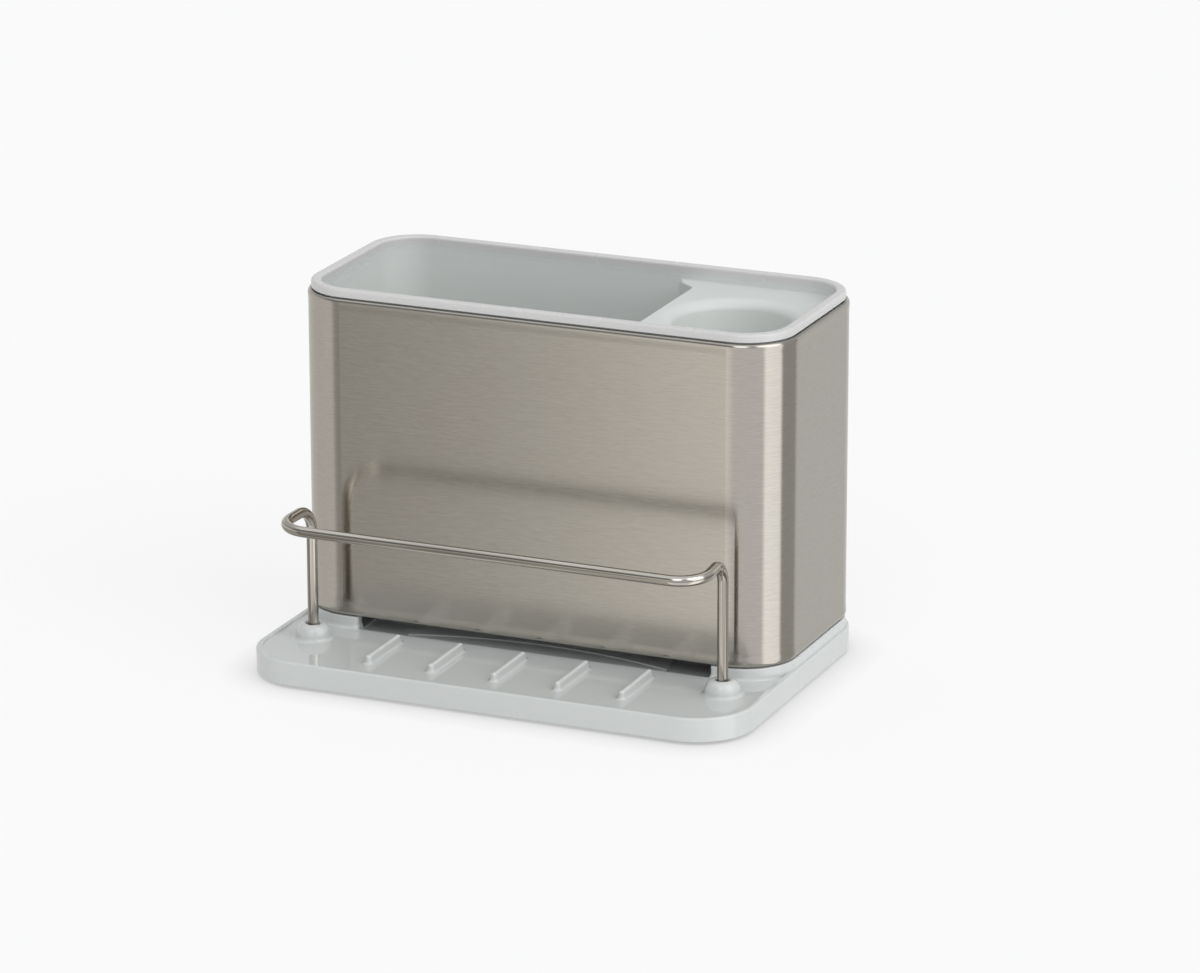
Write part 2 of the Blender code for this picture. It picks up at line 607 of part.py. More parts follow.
def make_rail():
    """The rail: a wire bent up from one socket, forward, across and back down."""
    foot = SOCKET_END + SEAT_GAP
    arm = TRAY_FLOOR + RAIL_RISE
    front = -DEPTH / 2 + RAIL_SETBACK
    right = [Vector((POST_X, POST_Y, foot)), Vector((POST_X, POST_Y, arm)),
             Vector((POST_X + RAIL_SPLAY, front, arm - RAIL_FALL))]
    left = [Vector((-point.x, point.y, point.z)) for point in right]
    path = bent_path(left + right[::-1], (POST_BEND, FRONT_BEND, FRONT_BEND, POST_BEND))
    chamfer = Vector((0, 0, WIRE_END))
    path = [path[0], path[0] + chamfer] + path[1:-1] + [path[-1] + chamfer, path[-1]]
    normal = Vector((1, 0, 0))
    rings = []
    for index, point in enumerate(path):
        before, after = path[max(index - 1, 0)], path[min(index + 1, len(path) - 1)]
        tangent = (after - before).normalized()
        normal = (normal - tangent * normal.dot(tangent)).normalized()
        across = tangent.cross(normal)
        radius = WIRE_RADIUS - WIRE_END if index in (0, len(path) - 1) else WIRE_RADIUS
        rings.append([point + normal * x + across * y for x, y in circle(0, 0, radius, WIRE_SIDES)])
    return finish(solid("rail", rings), (0.50, 0.48, 0.45), 0.22, metallic=1.0)


def make_feet():
    """Four rubber pads, seated in the base's pockets."""
    profile = [(FOOT_RADIUS - FOOT_EDGE, 0.0), (FOOT_RADIUS, FOOT_EDGE), (FOOT_RADIUS, FOOT_HEIGHT)]
    for name, (x, y) in foot_places().items():
        finish(turned(name, x, y, profile), (0.20, 0.21, 0.21), 0.8)


for leftover in list(bpy.data.objects):
    bpy.data.objects.remove(leftover)
make_base()
make_sleeve()
make_caddy()
make_rail()
make_feet()
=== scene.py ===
import math

import bmesh
import bpy
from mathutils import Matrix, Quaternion, Vector


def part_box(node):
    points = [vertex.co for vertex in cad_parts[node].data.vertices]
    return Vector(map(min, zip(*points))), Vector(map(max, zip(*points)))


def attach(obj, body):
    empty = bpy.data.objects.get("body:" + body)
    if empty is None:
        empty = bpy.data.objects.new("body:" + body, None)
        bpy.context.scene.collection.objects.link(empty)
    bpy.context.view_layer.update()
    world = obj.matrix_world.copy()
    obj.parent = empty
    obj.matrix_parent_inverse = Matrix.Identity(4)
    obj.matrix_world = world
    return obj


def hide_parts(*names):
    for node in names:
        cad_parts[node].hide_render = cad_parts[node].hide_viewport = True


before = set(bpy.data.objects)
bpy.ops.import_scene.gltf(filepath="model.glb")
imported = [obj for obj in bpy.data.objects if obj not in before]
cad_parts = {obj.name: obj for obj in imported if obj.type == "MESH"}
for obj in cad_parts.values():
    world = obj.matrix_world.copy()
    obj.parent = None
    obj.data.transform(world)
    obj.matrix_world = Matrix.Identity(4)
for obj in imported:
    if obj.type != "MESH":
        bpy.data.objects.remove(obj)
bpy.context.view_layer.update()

# Rubber feet. Four soft pads, moulded in a matt grey rubber and glued into
# round pockets under the base tray. Less than half of each stands out of it.
MM = 0.001
CORNERS = ("front_left", "front_right", "rear_left", "rear_right")
FOOT_ROUNDING = 0.5 * MM
FOOT_SHOULDER = 0.25 * MM
DISH_DEPTH = 0.25 * MM
DISH_SHARE, DISH_RIM_SHARE = 0.55, 0.62
RUBBER_DARK = (0.045, 0.046, 0.047, 1)
RUBBER_DUSTED = (0.085, 0.086, 0.086, 1)


def foot_place(corner):
    """A foot's middle in plan, its radius, its underside and its top."""
    low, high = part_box("foot_" + corner)
    return (low.x + high.x) / 2, (low.y + high.y) / 2, (high.x - low.x) / 2, low.z, high.z


def level(plan, z):
    """The plan points at one height."""
    return [Vector((x, y, z)) for x, y in plan]


def edge_curve(out, top, across, down, steps):
    """(distance, height) round a convex edge, from its side at out to its top.

    A negative across turns the edge to face inwards, and a negative down to face the worktop.
    """
    turns = [math.pi / 2 * step / steps for step in range(steps + 1)]
    return [(out - across * (1 - math.cos(turn)), top - down * (1 - math.sin(turn))) for turn in turns]


def in_scene(name, data):
    """A new object in the scene, for a mesh, a curve, a lamp or a lens."""
    made = bpy.data.objects.new(name, data)
    bpy.context.scene.collection.objects.link(made)
    return made


def lofted(name, rings):
    """A closed body through rings of equal count, capped at both ends."""
    shape = bmesh.new()
    rows = [[shape.verts.new(point) for point in ring] for ring in rings]
    for lower, upper in zip(rows, rows[1:]):
        for here in range(len(lower)):
            after = (here + 1) % len(lower)
            shape.faces.new((lower[here], lower[after], upper[after], upper[here]))
    shape.faces.new(rows[0][::-1])
    shape.faces.new(rows[-1])
    bmesh.ops.recalc_face_normals(shape, faces=shape.faces)
    mesh = bpy.data.meshes.new(name)
    shape.to_mesh(mesh)
    shape.free()
    return in_scene(name, mesh)


def turned(name, x, y, profile, sides):
    """A body turned about a vertical axis from (radius, height) pairs."""
    angles = [2 * math.pi * side / sides for side in range(sides)]
    rings = []
    for radius, z in profile:
        plan = [(x + radius * math.cos(angle), y + radius * math.sin(angle)) for angle in angles]
        rings.append(level(plan, z))
    return lofted(name, rings)


def polished_shading(piece, material, angle=28):
    """Smooth shading between true edges, with flat faces kept flat by their weight."""
    piece.data.materials.clear()
    piece.data.materials.append(material)
    piece.data.shade_smooth()
    piece.data.set_sharp_from_angle(angle=math.radians(angle))
    weighted = piece.modifiers.new("weighted", "WEIGHTED_NORMAL")
    weighted.mode = "FACE_AREA"
    weighted.weight = 60
    weighted.keep_sharp = True
    evaluated = piece.evaluated_get(bpy.context.evaluated_depsgraph_get())
    mesh = bpy.data.meshes.new_from_object(evaluated)
    piece.modifiers.clear()
    piece.data = mesh


def feed(node, values):
    """Gives a node its inputs: another node's output is linked, any other value is set on the socket."""
    for socket, value in values.items():
        if isinstance(value, bpy.types.NodeSocket):
            node.id_data.links.new(value, node.inputs[socket])
        else:
            node.inputs[socket].default_value = value


def add_node(tree, kind, values=None, **settings):
    """Adds a node with its settings and its inputs."""
    made = tree.nodes.new(kind)
    for name, value in settings.items():
        setattr(made, name, value)
    feed(made, values or {})
    return made


def finish_for(name, values):
    """A material with a Principled shader, whose even values are set on its own sockets."""
    material = bpy.data.materials.new(name)
    material.use_nodes = True
    shader = material.node_tree.nodes["Principled BSDF"]
    feed(shader, values)
    return material, material.node_tree, shader


def object_place(tree):
    """The place on the piece, in metres."""
    return add_node(tree, "ShaderNodeTexCoord").outputs["Object"]


def noise(tree, place, scale, detail, roughness=0.5):
    """A soft irregular pattern from 0 to 1."""
    values = {"Vector": place, "Scale": scale, "Detail": detail, "Roughness": roughness}
    return add_node(tree, "ShaderNodeTexNoise", values).outputs["Fac"]


def tone_between(tree, amount, first, second, **settings):
    """A colour between two others, each a plain colour or another node's output."""
    values = {0: amount, 6: first, 7: second}
    return add_node(tree, "ShaderNodeMix", values, data_type="RGBA", **settings).outputs[2]


def relief(tree, height, strength, distance, under=None):
    """A surface raised by a pattern, over another relief where there is one."""
    values = {"Height": height, "Strength": strength, "Distance": distance}
    if under:
        values["Normal"] = under
    return add_node(tree, "ShaderNodeBump", values).outputs["Normal"]


def rubber():
    """Matt grey rubber with a fine grain and faint dusting."""
    material, tree, shader = finish_for("foot_rubber", {"Roughness": 0.8, "Specular IOR Level": 0.3})
    place = object_place(tree)
    grain = noise(tree, place, scale=2600.0, detail=3.0)
    dust = noise(tree, place, scale=160.0, detail=4.0)
    feed(shader, {"Base Color": tone_between(tree, dust, RUBBER_DARK, RUBBER_DUSTED),
                  "Normal": relief(tree, grain, strength=0.6, distance=0.05 * MM)})
    return material


foot_finish = rubber()
for corner in CORNERS:
    x, y, radius, under, top = foot_place(corner)
    profile = [(radius * DISH_SHARE, under + DISH_DEPTH), (radius * DISH_RIM_SHARE, under)]
    profile += edge_curve(radius, under, FOOT_ROUNDING, -FOOT_ROUNDING, 4)[::-1]
    profile += edge_curve(radius, top, FOOT_SHOULDER, FOOT_SHOULDER, 3)
    pad = turned("pad_" + corner, x, y, profile, sides=48)
    polished_shading(pad, foot_finish, 40)
    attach(pad, "base")
    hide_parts("foot_" + corner)

# Base moulding. One injection moulding in a glossy pale grey plastic: the
# dished draining tray with its ribs and two domed bosses in front, and the
# raised plinth with a drain slot, a locating wall and a sloping drip floor.
base_low, base_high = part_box("base_tray")
sleeve_low, sleeve_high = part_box("sleeve")
OVERRUN = 3 * MM
BASE_HALF, BASE_FRONT, BASE_BACK = base_high.x, base_low.y, base_high.y
BASE_CORNER = 20.5 * MM
BASE_TOP = base_low.z + 8.3 * MM
BASE_SKIN = 2.2 * MM
BASE_FOOT_ROUNDING, BASE_ROUNDING = 0.4 * MM, 0.8 * MM
TRAY_DEPTH, TRAY_LIP, LIP_ROUNDING = 0.9 * MM, 2.2 * MM, 0.45 * MM
TRAY_FLOOR = BASE_TOP - TRAY_DEPTH

HEM_ROOM = 0.5 * MM
SLEEVE_HALF = sleeve_high.x - HEM_ROOM
SLEEVE_FRONT, SLEEVE_BACK = sleeve_low.y + HEM_ROOM, sleeve_high.y - HEM_ROOM
SLEEVE_CORNER = 18.6 * MM

PLINTH_TOP = BASE_TOP + 3.2 * MM
PLINTH_LEDGE, PLINTH_FLARE, PLINTH_ROUNDING = 0.4 * MM, 1.5 * MM, 0.45 * MM
LOCATOR_TOP, LOCATOR_GROW, LOCATOR_WALL = base_high.z, -2.1 * MM, 1.6 * MM
LOCATOR_EDGE, LOCATOR_EDGE_DROP = 0.7 * MM, 0.8 * MM
SLOT_HALF = SLEEVE_HALF - 23.7 * MM
SLOT_CORNER, SLOT_ROUNDING, SLOT_SWEEP = 1.0 * MM, 1.3 * MM, 86
DRIP_GROW = LOCATOR_GROW - LOCATOR_WALL
DRIP_FRONT, DRIP_BACK = SLEEVE_FRONT - DRIP_GROW, SLEEVE_BACK + DRIP_GROW
DRIP_STEP, DRIP_FALL, DRIP_FILLET = -0.9 * MM, 3 * MM, 1.2 * MM
GUTTER_DEPTH, GUTTER_END = 1.4 * MM, SLOT_HALF - 0.25 * MM
GUTTER_EDGE = ((0, -0.15 * MM), (0.04 * MM, -0.05 * MM), (0.15 * MM, 0.02 * MM))
ARC_HALF, ARC_REACH = SLOT_HALF - 15 * MM, 7.4 * MM
POCKET_START, POCKET_SLANT = ARC_HALF - 1.5 * MM, 3 * MM
POCKET_REACH, POCKET_RISE = 14 * MM, 1.5 * MM

RIB_COUNT, RIB_PITCH, RIB_HEIGHT = 5, 23.1 * MM, 2.85 * MM
RIB_FRONT, RIB_BACK = BASE_FRONT + 11.8 * MM, SLEEVE_FRONT - 7 * MM
RIB_WAIST, RIB_FLARE, RIB_FLARE_RISE = 1.15 * MM, 1.35 * MM, 1.1 * MM
RIDGE_HALF, RIDGE_EDGE, RIDGE_DROP = 0.98 * MM, 0.78 * MM, 0.8 * MM
RIB_END, RIB_ROUNDNESS = 0.7 * MM, 0.96
POST_X, POST_Y = BASE_HALF - 14.9 * MM, SLEEVE_FRONT - 13.6 * MM
BOSS_TOP, BOSS_RADIUS, BOSS_DOME = TRAY_FLOOR + 5.3 * MM, 6.0 * MM, 3.0 * MM
BOSS_FLARE, BOSS_FLARE_RISE = 1.5 * MM, 1.2 * MM
WIRE_RADIUS = 1.85 * MM
SOCKET_RADIUS, SOCKET_FLOOR = WIRE_RADIUS + 0.3 * MM, base_low.z + 1.6 * MM
SOCKET_MOUTH = ((0, 1.1 * MM), (0.08 * MM, 0.7 * MM), (0.25 * MM, 0.35 * MM), (0.5 * MM, 0.12 * MM),
                (0.9 * MM, 0))

WEB_HALF, WEB_PITCH, WEB_FOOT = 0.7 * MM, 45 * MM, base_low.z + 1.1 * MM
SOCKET_WALL, POCKET_WALL, POCKET_RIM = 2.2 * MM, 1.8 * MM, base_low.z + 0.3 * MM
GLUE_GAP = 0.3 * MM

TRAY_GREY = (0.560, 0.582, 0.574, 1)
TRAY_GREY_PALE = (0.598, 0.620, 0.610, 1)
# Painted highlight: a paler grey for the tops of the ribs, from a height up and in front of a line
RIDGE_HIGHLIGHT_GREY = (0.680, 0.697, 0.688, 1)
HIGHLIGHT_RISE, HIGHLIGHT_END = 2.1 * MM, (RIB_BACK + 4.5 * MM, RIB_BACK + 4 * MM)


def rounded_plan(corners, radii, steps=20):
    """Plan points round a polygon, each corner rounded to its radius."""
    points = []
    for index, (corner, radius) in enumerate(zip(corners, radii)):
        here, before = Vector(corner), Vector(corners[index - 1])
        after = Vector(corners[(index + 1) % len(corners)])
        back, ahead = (before - here).normalized(), (after - here).normalized()
        turn = math.pi - back.angle(ahead)
        start = here + back * radius * math.tan(turn / 2)
        side = (ahead + back * math.cos(turn)).normalized()
        for step in range(steps + 1):
            angle = turn * step / steps
            point = start - back * radius * math.sin(angle) + side * radius * (1 - math.cos(angle))
            points.append((point.x, point.y))
    return points


def oblong_plan(half, front, back, corner, rear_corner=None, steps=20):
    """Plan points of a rounded rectangle centred on X."""
    rear = rear_corner or corner
    corners = [(half, back), (-half, back), (-half, front), (half, front)]
    return rounded_plan(corners, [rear, rear, corner, corner], steps)


def base_ring(grow, z):
    """The base's outline at a height, moved outwards by grow."""
    front, back = BASE_FRONT - grow, BASE_BACK + grow
    return level(oblong_plan(BASE_HALF + grow, front, back, BASE_CORNER + grow), z)


def sleeve_ring(grow, z):
    """The sleeve's outline at a height, moved outwards by grow."""
    front, back = SLEEVE_FRONT - grow, SLEEVE_BACK + grow
    return level(oblong_plan(SLEEVE_HALF + grow, front, back, SLEEVE_CORNER + grow), z)


def plinth_ring(reach, ledge, z):
    """The plinth's outline: its reach to the front, its ledge at the sides and round the rear corners."""
    half, front, back = SLEEVE_HALF + ledge, SLEEVE_FRONT - reach, SLEEVE_BACK + ledge
    rear = BASE_CORNER - (BASE_HALF - SLEEVE_HALF) + ledge
    return level(oblong_plan(half, front, back, SLEEVE_CORNER + reach, rear), z)


def fillet_curve(wall, floor, across, up, steps):
    """(distance, height) along a concave fillet, from the floor up the wall. A negative across faces in."""
    turns = [math.pi / 2 * step / steps for step in range(steps + 1)]
    return [(wall + across * (1 - math.sin(turn)), floor + up * (1 - math.cos(turn))) for turn in turns]


def flare_curve(wall, floor, across, up, steps):
    """A concave fillet whose first facet starts below the floor, so that it cuts into it cleanly."""
    curve = fillet_curve(wall, floor, across, up, steps)
    start = tuple(2 * here - after for here, after in zip(curve[0], curve[1]))
    return [start] + curve[1:]


def combine(target, tool, operation):
    """Joins the tool to the target or cuts it out, welds the seam, and removes the tool."""
    modifier = target.modifiers.new(operation, "BOOLEAN")
    modifier.operation = operation
    modifier.object = tool
    evaluated = target.evaluated_get(bpy.context.evaluated_depsgraph_get())
    joined = bmesh.new()
    joined.from_mesh(evaluated.data)
    bmesh.ops.remove_doubles(joined, verts=joined.verts, dist=0.001 * MM)
    target.modifiers.clear()
    joined.to_mesh(target.data)
    joined.free()
    bpy.data.objects.remove(tool)


def base_shell():
    """The moulding's rounded side, its rounded lip, and the tray's dish inside the lip."""
    outline = edge_curve(0, base_low.z, BASE_FOOT_ROUNDING, -BASE_FOOT_ROUNDING, 4)[::-1]
    outline += edge_curve(0, BASE_TOP, BASE_ROUNDING, BASE_ROUNDING, 8)
    outline += edge_curve(-TRAY_LIP, BASE_TOP, -LIP_ROUNDING, LIP_ROUNDING, 6)[::-1]
    dish = fillet_curve(-TRAY_LIP, TRAY_FLOOR, -TRAY_DEPTH, TRAY_DEPTH - LIP_ROUNDING, 6)
    outline += dish[-2::-1]
    return lofted("base_moulding", [base_ring(grow, z) for grow, z in outline])


def slot_cutter(sunk):
    """The drain slot. Its ends are rounded in plan, and the plinth's foot flares round them."""
    middle_x, middle_y = SLOT_HALF + SLOT_ROUNDING, SLEEVE_FRONT + SLOT_ROUNDING
    sides = flare_curve(0, TRAY_FLOOR, SLOT_CORNER, PLINTH_FLARE, 8)
    fronts = flare_curve(0, TRAY_FLOOR, PLINTH_FLARE, PLINTH_FLARE, 8)
    levels = [(sides[0][0], fronts[0][0], sunk - MM)]
    levels += [(side, reach, z) for (side, z), (reach, _) in zip(sides, fronts)]
    levels.append((0, 0, LOCATOR_TOP + OVERRUN))
    rings = []
    for side, reach, z in levels:
        right = [(SLOT_HALF - side, DRIP_FRONT + SLOT_CORNER)]
        for step in range(9):
            turn = math.radians(180 + SLOT_SWEEP * step / 8)
            right.append((middle_x + (SLOT_ROUNDING + side) * math.cos(turn),
                          middle_y + (SLOT_ROUNDING + reach) * math.sin(turn)))
        right.append((right[-1][0], SLEEVE_FRONT - PLINTH_FLARE * 2 - OVERRUN))
        left = [(-x, y) for x, y in reversed(right)]
        rings.append(level(right + left, z))
    return lofted("slot", rings)


def plinth_body():
    """The plinth and its locating wall as one body, with the slot cut out."""
    sunk = TRAY_FLOOR - BASE_SKIN / 2
    foot = flare_curve(0, TRAY_FLOOR, PLINTH_FLARE, PLINTH_FLARE, 10)
    top = edge_curve(0, PLINTH_TOP, PLINTH_ROUNDING, PLINTH_ROUNDING, 5)
    rings = [plinth_ring(reach, PLINTH_LEDGE, z) for reach, z in [(foot[0][0], sunk)] + foot]
    rings += [plinth_ring(grow, grow, z) for grow, z in top]
    plinth = lofted("plinth", rings)
    wall = [(LOCATOR_GROW, BASE_TOP)]
    wall += edge_curve(LOCATOR_GROW, LOCATOR_TOP, LOCATOR_EDGE, LOCATOR_EDGE_DROP, 5)
    combine(plinth, lofted("locating_wall", [sleeve_ring(grow, z) for grow, z in wall]), "UNION")
    combine(plinth, slot_cutter(sunk), "DIFFERENCE")
    return plinth


def drip_cutter():
    """The space inside the locating wall, over a floor that slopes down to the gutter."""
    floor = fillet_curve(DRIP_GROW, TRAY_FLOOR, -DRIP_FILLET, DRIP_FILLET, 5)
    rings = [sleeve_ring(grow, z) for grow, z in floor]
    for ring in rings:
        for point in ring:
            point.z += DRIP_STEP + DRIP_FALL * (point.y - DRIP_FRONT) / (DRIP_BACK - DRIP_FRONT)
    return lofted("drip_floor", rings + [sleeve_ring(DRIP_GROW, LOCATOR_TOP + OVERRUN)])


def gutter_cutter():
    """The gutter behind the slot's front edge: an arc that runs back under the sleeve to the drip floor."""
    back = DRIP_FRONT + ARC_REACH
    radius = (ARC_HALF ** 2 + ARC_REACH ** 2) / (2 * ARC_REACH)
    turns = [math.asin(ARC_HALF / radius) * (1 - step / 20) for step in range(41)]
    arc = [(radius * math.sin(turn), back - radius * (1 - math.cos(turn))) for turn in turns]
    rings = []
    for spread, z in ((0, -GUTTER_DEPTH),) + GUTTER_EDGE:
        right = [(GUTTER_END, SLEEVE_FRONT - spread), (GUTTER_END, DRIP_FRONT)]
        left = [(-x, y) for x, y in reversed(right)]
        rings.append(level(right + arc + left, TRAY_FLOOR + z))
    for point in rings[0]:
        point.z += (GUTTER_DEPTH + DRIP_STEP) * (point.y - SLEEVE_FRONT) / (back - SLEEVE_FRONT)
    return lofted("gutter", rings)


def pocket_cutter(side):
    """The pocket at one end of the gutter, as deep as its front edge, which the drip floor drains into."""
    end, inner, back = side * GUTTER_END, side * POCKET_START, DRIP_FRONT + POCKET_REACH
    plan = [(end, SLEEVE_FRONT), (end, back), (inner - side * POCKET_SLANT, back), (inner, SLEEVE_FRONT)]
    return lofted("gutter_pocket", [level(plan, TRAY_FLOOR + z) for z in (-GUTTER_DEPTH, POCKET_RISE)])


def grown(name, tree, sizes, start=None):
    """The plain mesh that a Geometry Nodes tree makes from its named sizes."""
    body = in_scene(name, start or bpy.data.meshes.new(name))
    modifier = body.modifiers.new(tree.name, "NODES")
    modifier.node_group = tree
    for socket in tree.interface.items_tree:
        if socket.in_out == "INPUT" and socket.name in sizes:
            modifier[socket.identifier] = sizes[socket.name]
    mesh = bpy.data.meshes.new_from_object(body.evaluated_get(bpy.context.evaluated_depsgraph_get()))
    body.modifiers.clear()
    body.data = mesh
    return body


def tree_with(name, inputs):
    """A Geometry Nodes tree with named inputs; returns it with its input and output nodes."""
    tree = bpy.data.node_groups.new(name, "GeometryNodeTree")
    kinds = {"Object": "NodeSocketObject", "Material": "NodeSocketMaterial", "Count": "NodeSocketInt",
             "Size": "NodeSocketFloat", "Place": "NodeSocketVector", "Mesh": "NodeSocketGeometry"}
    for label, kind in inputs.items():
        tree.interface.new_socket(label, in_out="INPUT", socket_type=kinds[kind])
    tree.interface.new_socket("Geometry", in_out="OUTPUT", socket_type="NodeSocketGeometry")
    return tree, tree.nodes.new("NodeGroupInput").outputs, tree.nodes.new("NodeGroupOutput")


def end_tree(tree, geometry, material, result):
    """Ends a tree: its instances are made real and get their material."""
    solid = add_node(tree, "GeometryNodeRealizeInstances", {"Geometry": geometry})
    coated = add_node(tree, "GeometryNodeSetMaterial", {"Geometry": solid.outputs[0], "Material": material})
    feed(result, {0: coated.outputs[0]})
    return tree


def maths(tree, operation, *terms):
    """The result of one operation on numbers or other nodes' outputs."""
    return add_node(tree, "ShaderNodeMath", dict(enumerate(terms)), operation=operation).outputs[0]


def row_length(tree, count, pitch):
    """The distance from the first to the last of a row with an even pitch."""
    return maths(tree, "MULTIPLY", maths(tree, "SUBTRACT", count, 1.0), pitch)


def one_rib():
    """A single rib: a thin ridge on a flared foot, with rounded ends."""
    foot = flare_curve(RIB_WAIST, 0, RIB_FLARE, RIB_FLARE_RISE, 12)
    ridge = edge_curve(RIDGE_HALF, RIB_HEIGHT, RIDGE_EDGE, RIDGE_DROP, 7)
    rings = []
    for half, rise in [(foot[0][0], -BASE_SKIN / 2)] + foot + ridge:
        front, back = RIB_FRONT - half + RIB_END, RIB_BACK + half - RIB_END
        rings.append(level(oblong_plan(half, front, back, half * RIB_ROUNDNESS, steps=10), TRAY_FLOOR + rise))
    return lofted("one_rib", rings)


def rib_row():
    """Geometry Nodes: ribs side by side across the tray, at an even pitch."""
    inputs = {"Rib": "Object", "Ribs": "Count", "Pitch": "Size", "Plastic": "Material"}
    tree, size, result = tree_with("rib_row", inputs)
    first = maths(tree, "MULTIPLY", row_length(tree, size["Ribs"], size["Pitch"]), -0.5)
    start = add_node(tree, "ShaderNodeCombineXYZ", {"X": first}).outputs[0]
    step = add_node(tree, "ShaderNodeCombineXYZ", {"X": size["Pitch"]}).outputs[0]
    line = {"Count": size["Ribs"], "Start Location": start, "Offset": step}
    row = add_node(tree, "GeometryNodeMeshLine", line)
    rib = add_node(tree, "GeometryNodeObjectInfo", {"Object": size["Rib"]})
    ribs = {"Points": row.outputs[0], "Instance": rib.outputs["Geometry"]}
    placed = add_node(tree, "GeometryNodeInstanceOnPoints", ribs)
    return end_tree(tree, placed.outputs[0], size["Plastic"], result)


def boss(x):
    """A flared and domed boss that a post of the rail stands in."""
    profile = flare_curve(BOSS_RADIUS, TRAY_FLOOR, BOSS_FLARE, BOSS_FLARE_RISE, 8)
    profile.insert(0, (profile[0][0], TRAY_FLOOR - BASE_SKIN / 2))
    dome_drop = BOSS_TOP - TRAY_FLOOR - BOSS_FLARE_RISE
    profile += edge_curve(BOSS_RADIUS, BOSS_TOP, BOSS_DOME, dome_drop, 14)[1:]
    return turned("boss", x, POST_Y, profile, sides=96)


def socket_cutter(x):
    """The bore that a post stands in, with a rounded mouth."""
    profile = [(SOCKET_RADIUS, SOCKET_FLOOR)]
    profile += [(SOCKET_RADIUS + wider, BOSS_TOP - drop) for wider, drop in SOCKET_MOUTH]
    profile.append((profile[-1][0], BOSS_TOP + OVERRUN))
    return turned("bore", x, POST_Y, profile, sides=64)


def pin(name, x, y, radius, low, high):
    """A plain upright cylinder, to cut with or to leave standing."""
    return turned(name, x, y, [(radius, low), (radius, high)], sides=48)


def underside_hollow():
    """The space under the base, less the webs, the sockets' walls and the feet's pockets."""
    top = TRAY_FLOOR - BASE_SKIN
    high = top + OVERRUN
    hollow = lofted("hollow", [base_ring(-BASE_SKIN, z) for z in (base_low.z - OVERRUN, top)])
    strips = [((x - WEB_HALF, -1), (x + WEB_HALF, 1)) for x in (-WEB_PITCH, 0, WEB_PITCH)]
    strips += [((-1, y - WEB_HALF), (1, y + WEB_HALF)) for y in (BASE_FRONT / 3, BASE_BACK / 3)]
    for (left, front), (right, back) in strips:
        plan = [(left, front), (right, front), (right, back), (left, back)]
        combine(hollow, lofted("web", [level(plan, WEB_FOOT), level(plan, high)]), "DIFFERENCE")
    for x in (-POST_X, POST_X):
        wall = pin("socket_wall", x, POST_Y, SOCKET_RADIUS + SOCKET_WALL, base_low.z, high)
        combine(hollow, wall, "DIFFERENCE")
    for x, y, radius, _, _ in map(foot_place, CORNERS):
        wall = pin("pocket_wall", x, y, radius + GLUE_GAP + POCKET_WALL, POCKET_RIM, high)
        combine(hollow, wall, "DIFFERENCE")
    return hollow


def span_of(tree, value, start, end, low=0.0, high=1.0, **settings):
    """A value carried over from one span to another, and held at its ends."""
    values = {"Value": value, "From Min": start, "From Max": end, "To Min": low, "To Max": high}
    return add_node(tree, "ShaderNodeMapRange", values, **settings).outputs[0]


def gloss_plastic():
    """Glossy pale grey plastic, faintly uneven as from a polished mould, with a highlight painted paler along
    the tops of the ribs.
    """
    gloss = {"IOR": 1.5, "Coat Weight": 0.15, "Coat Roughness": 0.06}
    material, tree, shader = finish_for("tray_plastic", gloss)
    place = object_place(tree)
    cloud = noise(tree, place, scale=38.0, detail=4.0, roughness=0.55)
    tone = tone_between(tree, cloud, TRAY_GREY, TRAY_GREY_PALE)
    along = add_node(tree, "ShaderNodeSeparateXYZ", {0: place}).outputs
    # Painted highlight: the tops of the ribs, above a height, in front of the plinth and inside the row, are
    # painted paler
    high = span_of(tree, along["Z"], TRAY_FLOOR + HIGHLIGHT_RISE, TRAY_FLOOR + RIB_HEIGHT)
    forward = span_of(tree, along["Y"], *HIGHLIGHT_END)
    between = maths(tree, "LESS_THAN", maths(tree, "ABSOLUTE", along["X"]), RIB_COUNT * RIB_PITCH / 2)
    painted_ridge_highlight = maths(tree, "MULTIPLY", maths(tree, "MULTIPLY", high, forward), between)
    wear = noise(tree, place, scale=210.0, detail=5.0, roughness=0.6)
    swell = relief(tree, noise(tree, place, scale=55.0, detail=2.0), strength=0.25, distance=0.03 * MM)
    peel = noise(tree, place, scale=900.0, detail=2.0)
    feed(shader, {"Base Color": tone_between(tree, painted_ridge_highlight, tone, RIDGE_HIGHLIGHT_GREY),
                  "Roughness": span_of(tree, wear, 0.3, 0.75, low=0.04, high=0.09),
                  "Normal": relief(tree, peel, strength=0.15, distance=0.004 * MM, under=swell)})
    return material


base_finish = gloss_plastic()
base = base_shell()
combine(base, plinth_body(), "UNION")
for cutter in (drip_cutter(), gutter_cutter(), pocket_cutter(-1), pocket_cutter(1)):
    combine(base, cutter, "DIFFERENCE")
rib = one_rib()
row_sizes = {"Rib": rib, "Ribs": RIB_COUNT, "Pitch": RIB_PITCH, "Plastic": base_finish}
ribs = grown("ribs", rib_row(), row_sizes)
bpy.data.objects.remove(rib)
combine(base, ribs, "UNION")
for x in (-POST_X, POST_X):
    combine(base, boss(x), "UNION")
combine(base, underside_hollow(), "DIFFERENCE")
for x in (-POST_X, POST_X):
    combine(base, socket_cutter(x), "DIFFERENCE")
for x, y, radius, _, top in map(foot_place, CORNERS):
    pocket = pin("foot_pocket", x, y, radius + GLUE_GAP, base_low.z - OVERRUN, top + GLUE_GAP)
    combine(base, pocket, "DIFFERENCE")
polished_shading(base, base_finish)
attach(base, "base")
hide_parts("base_tray")

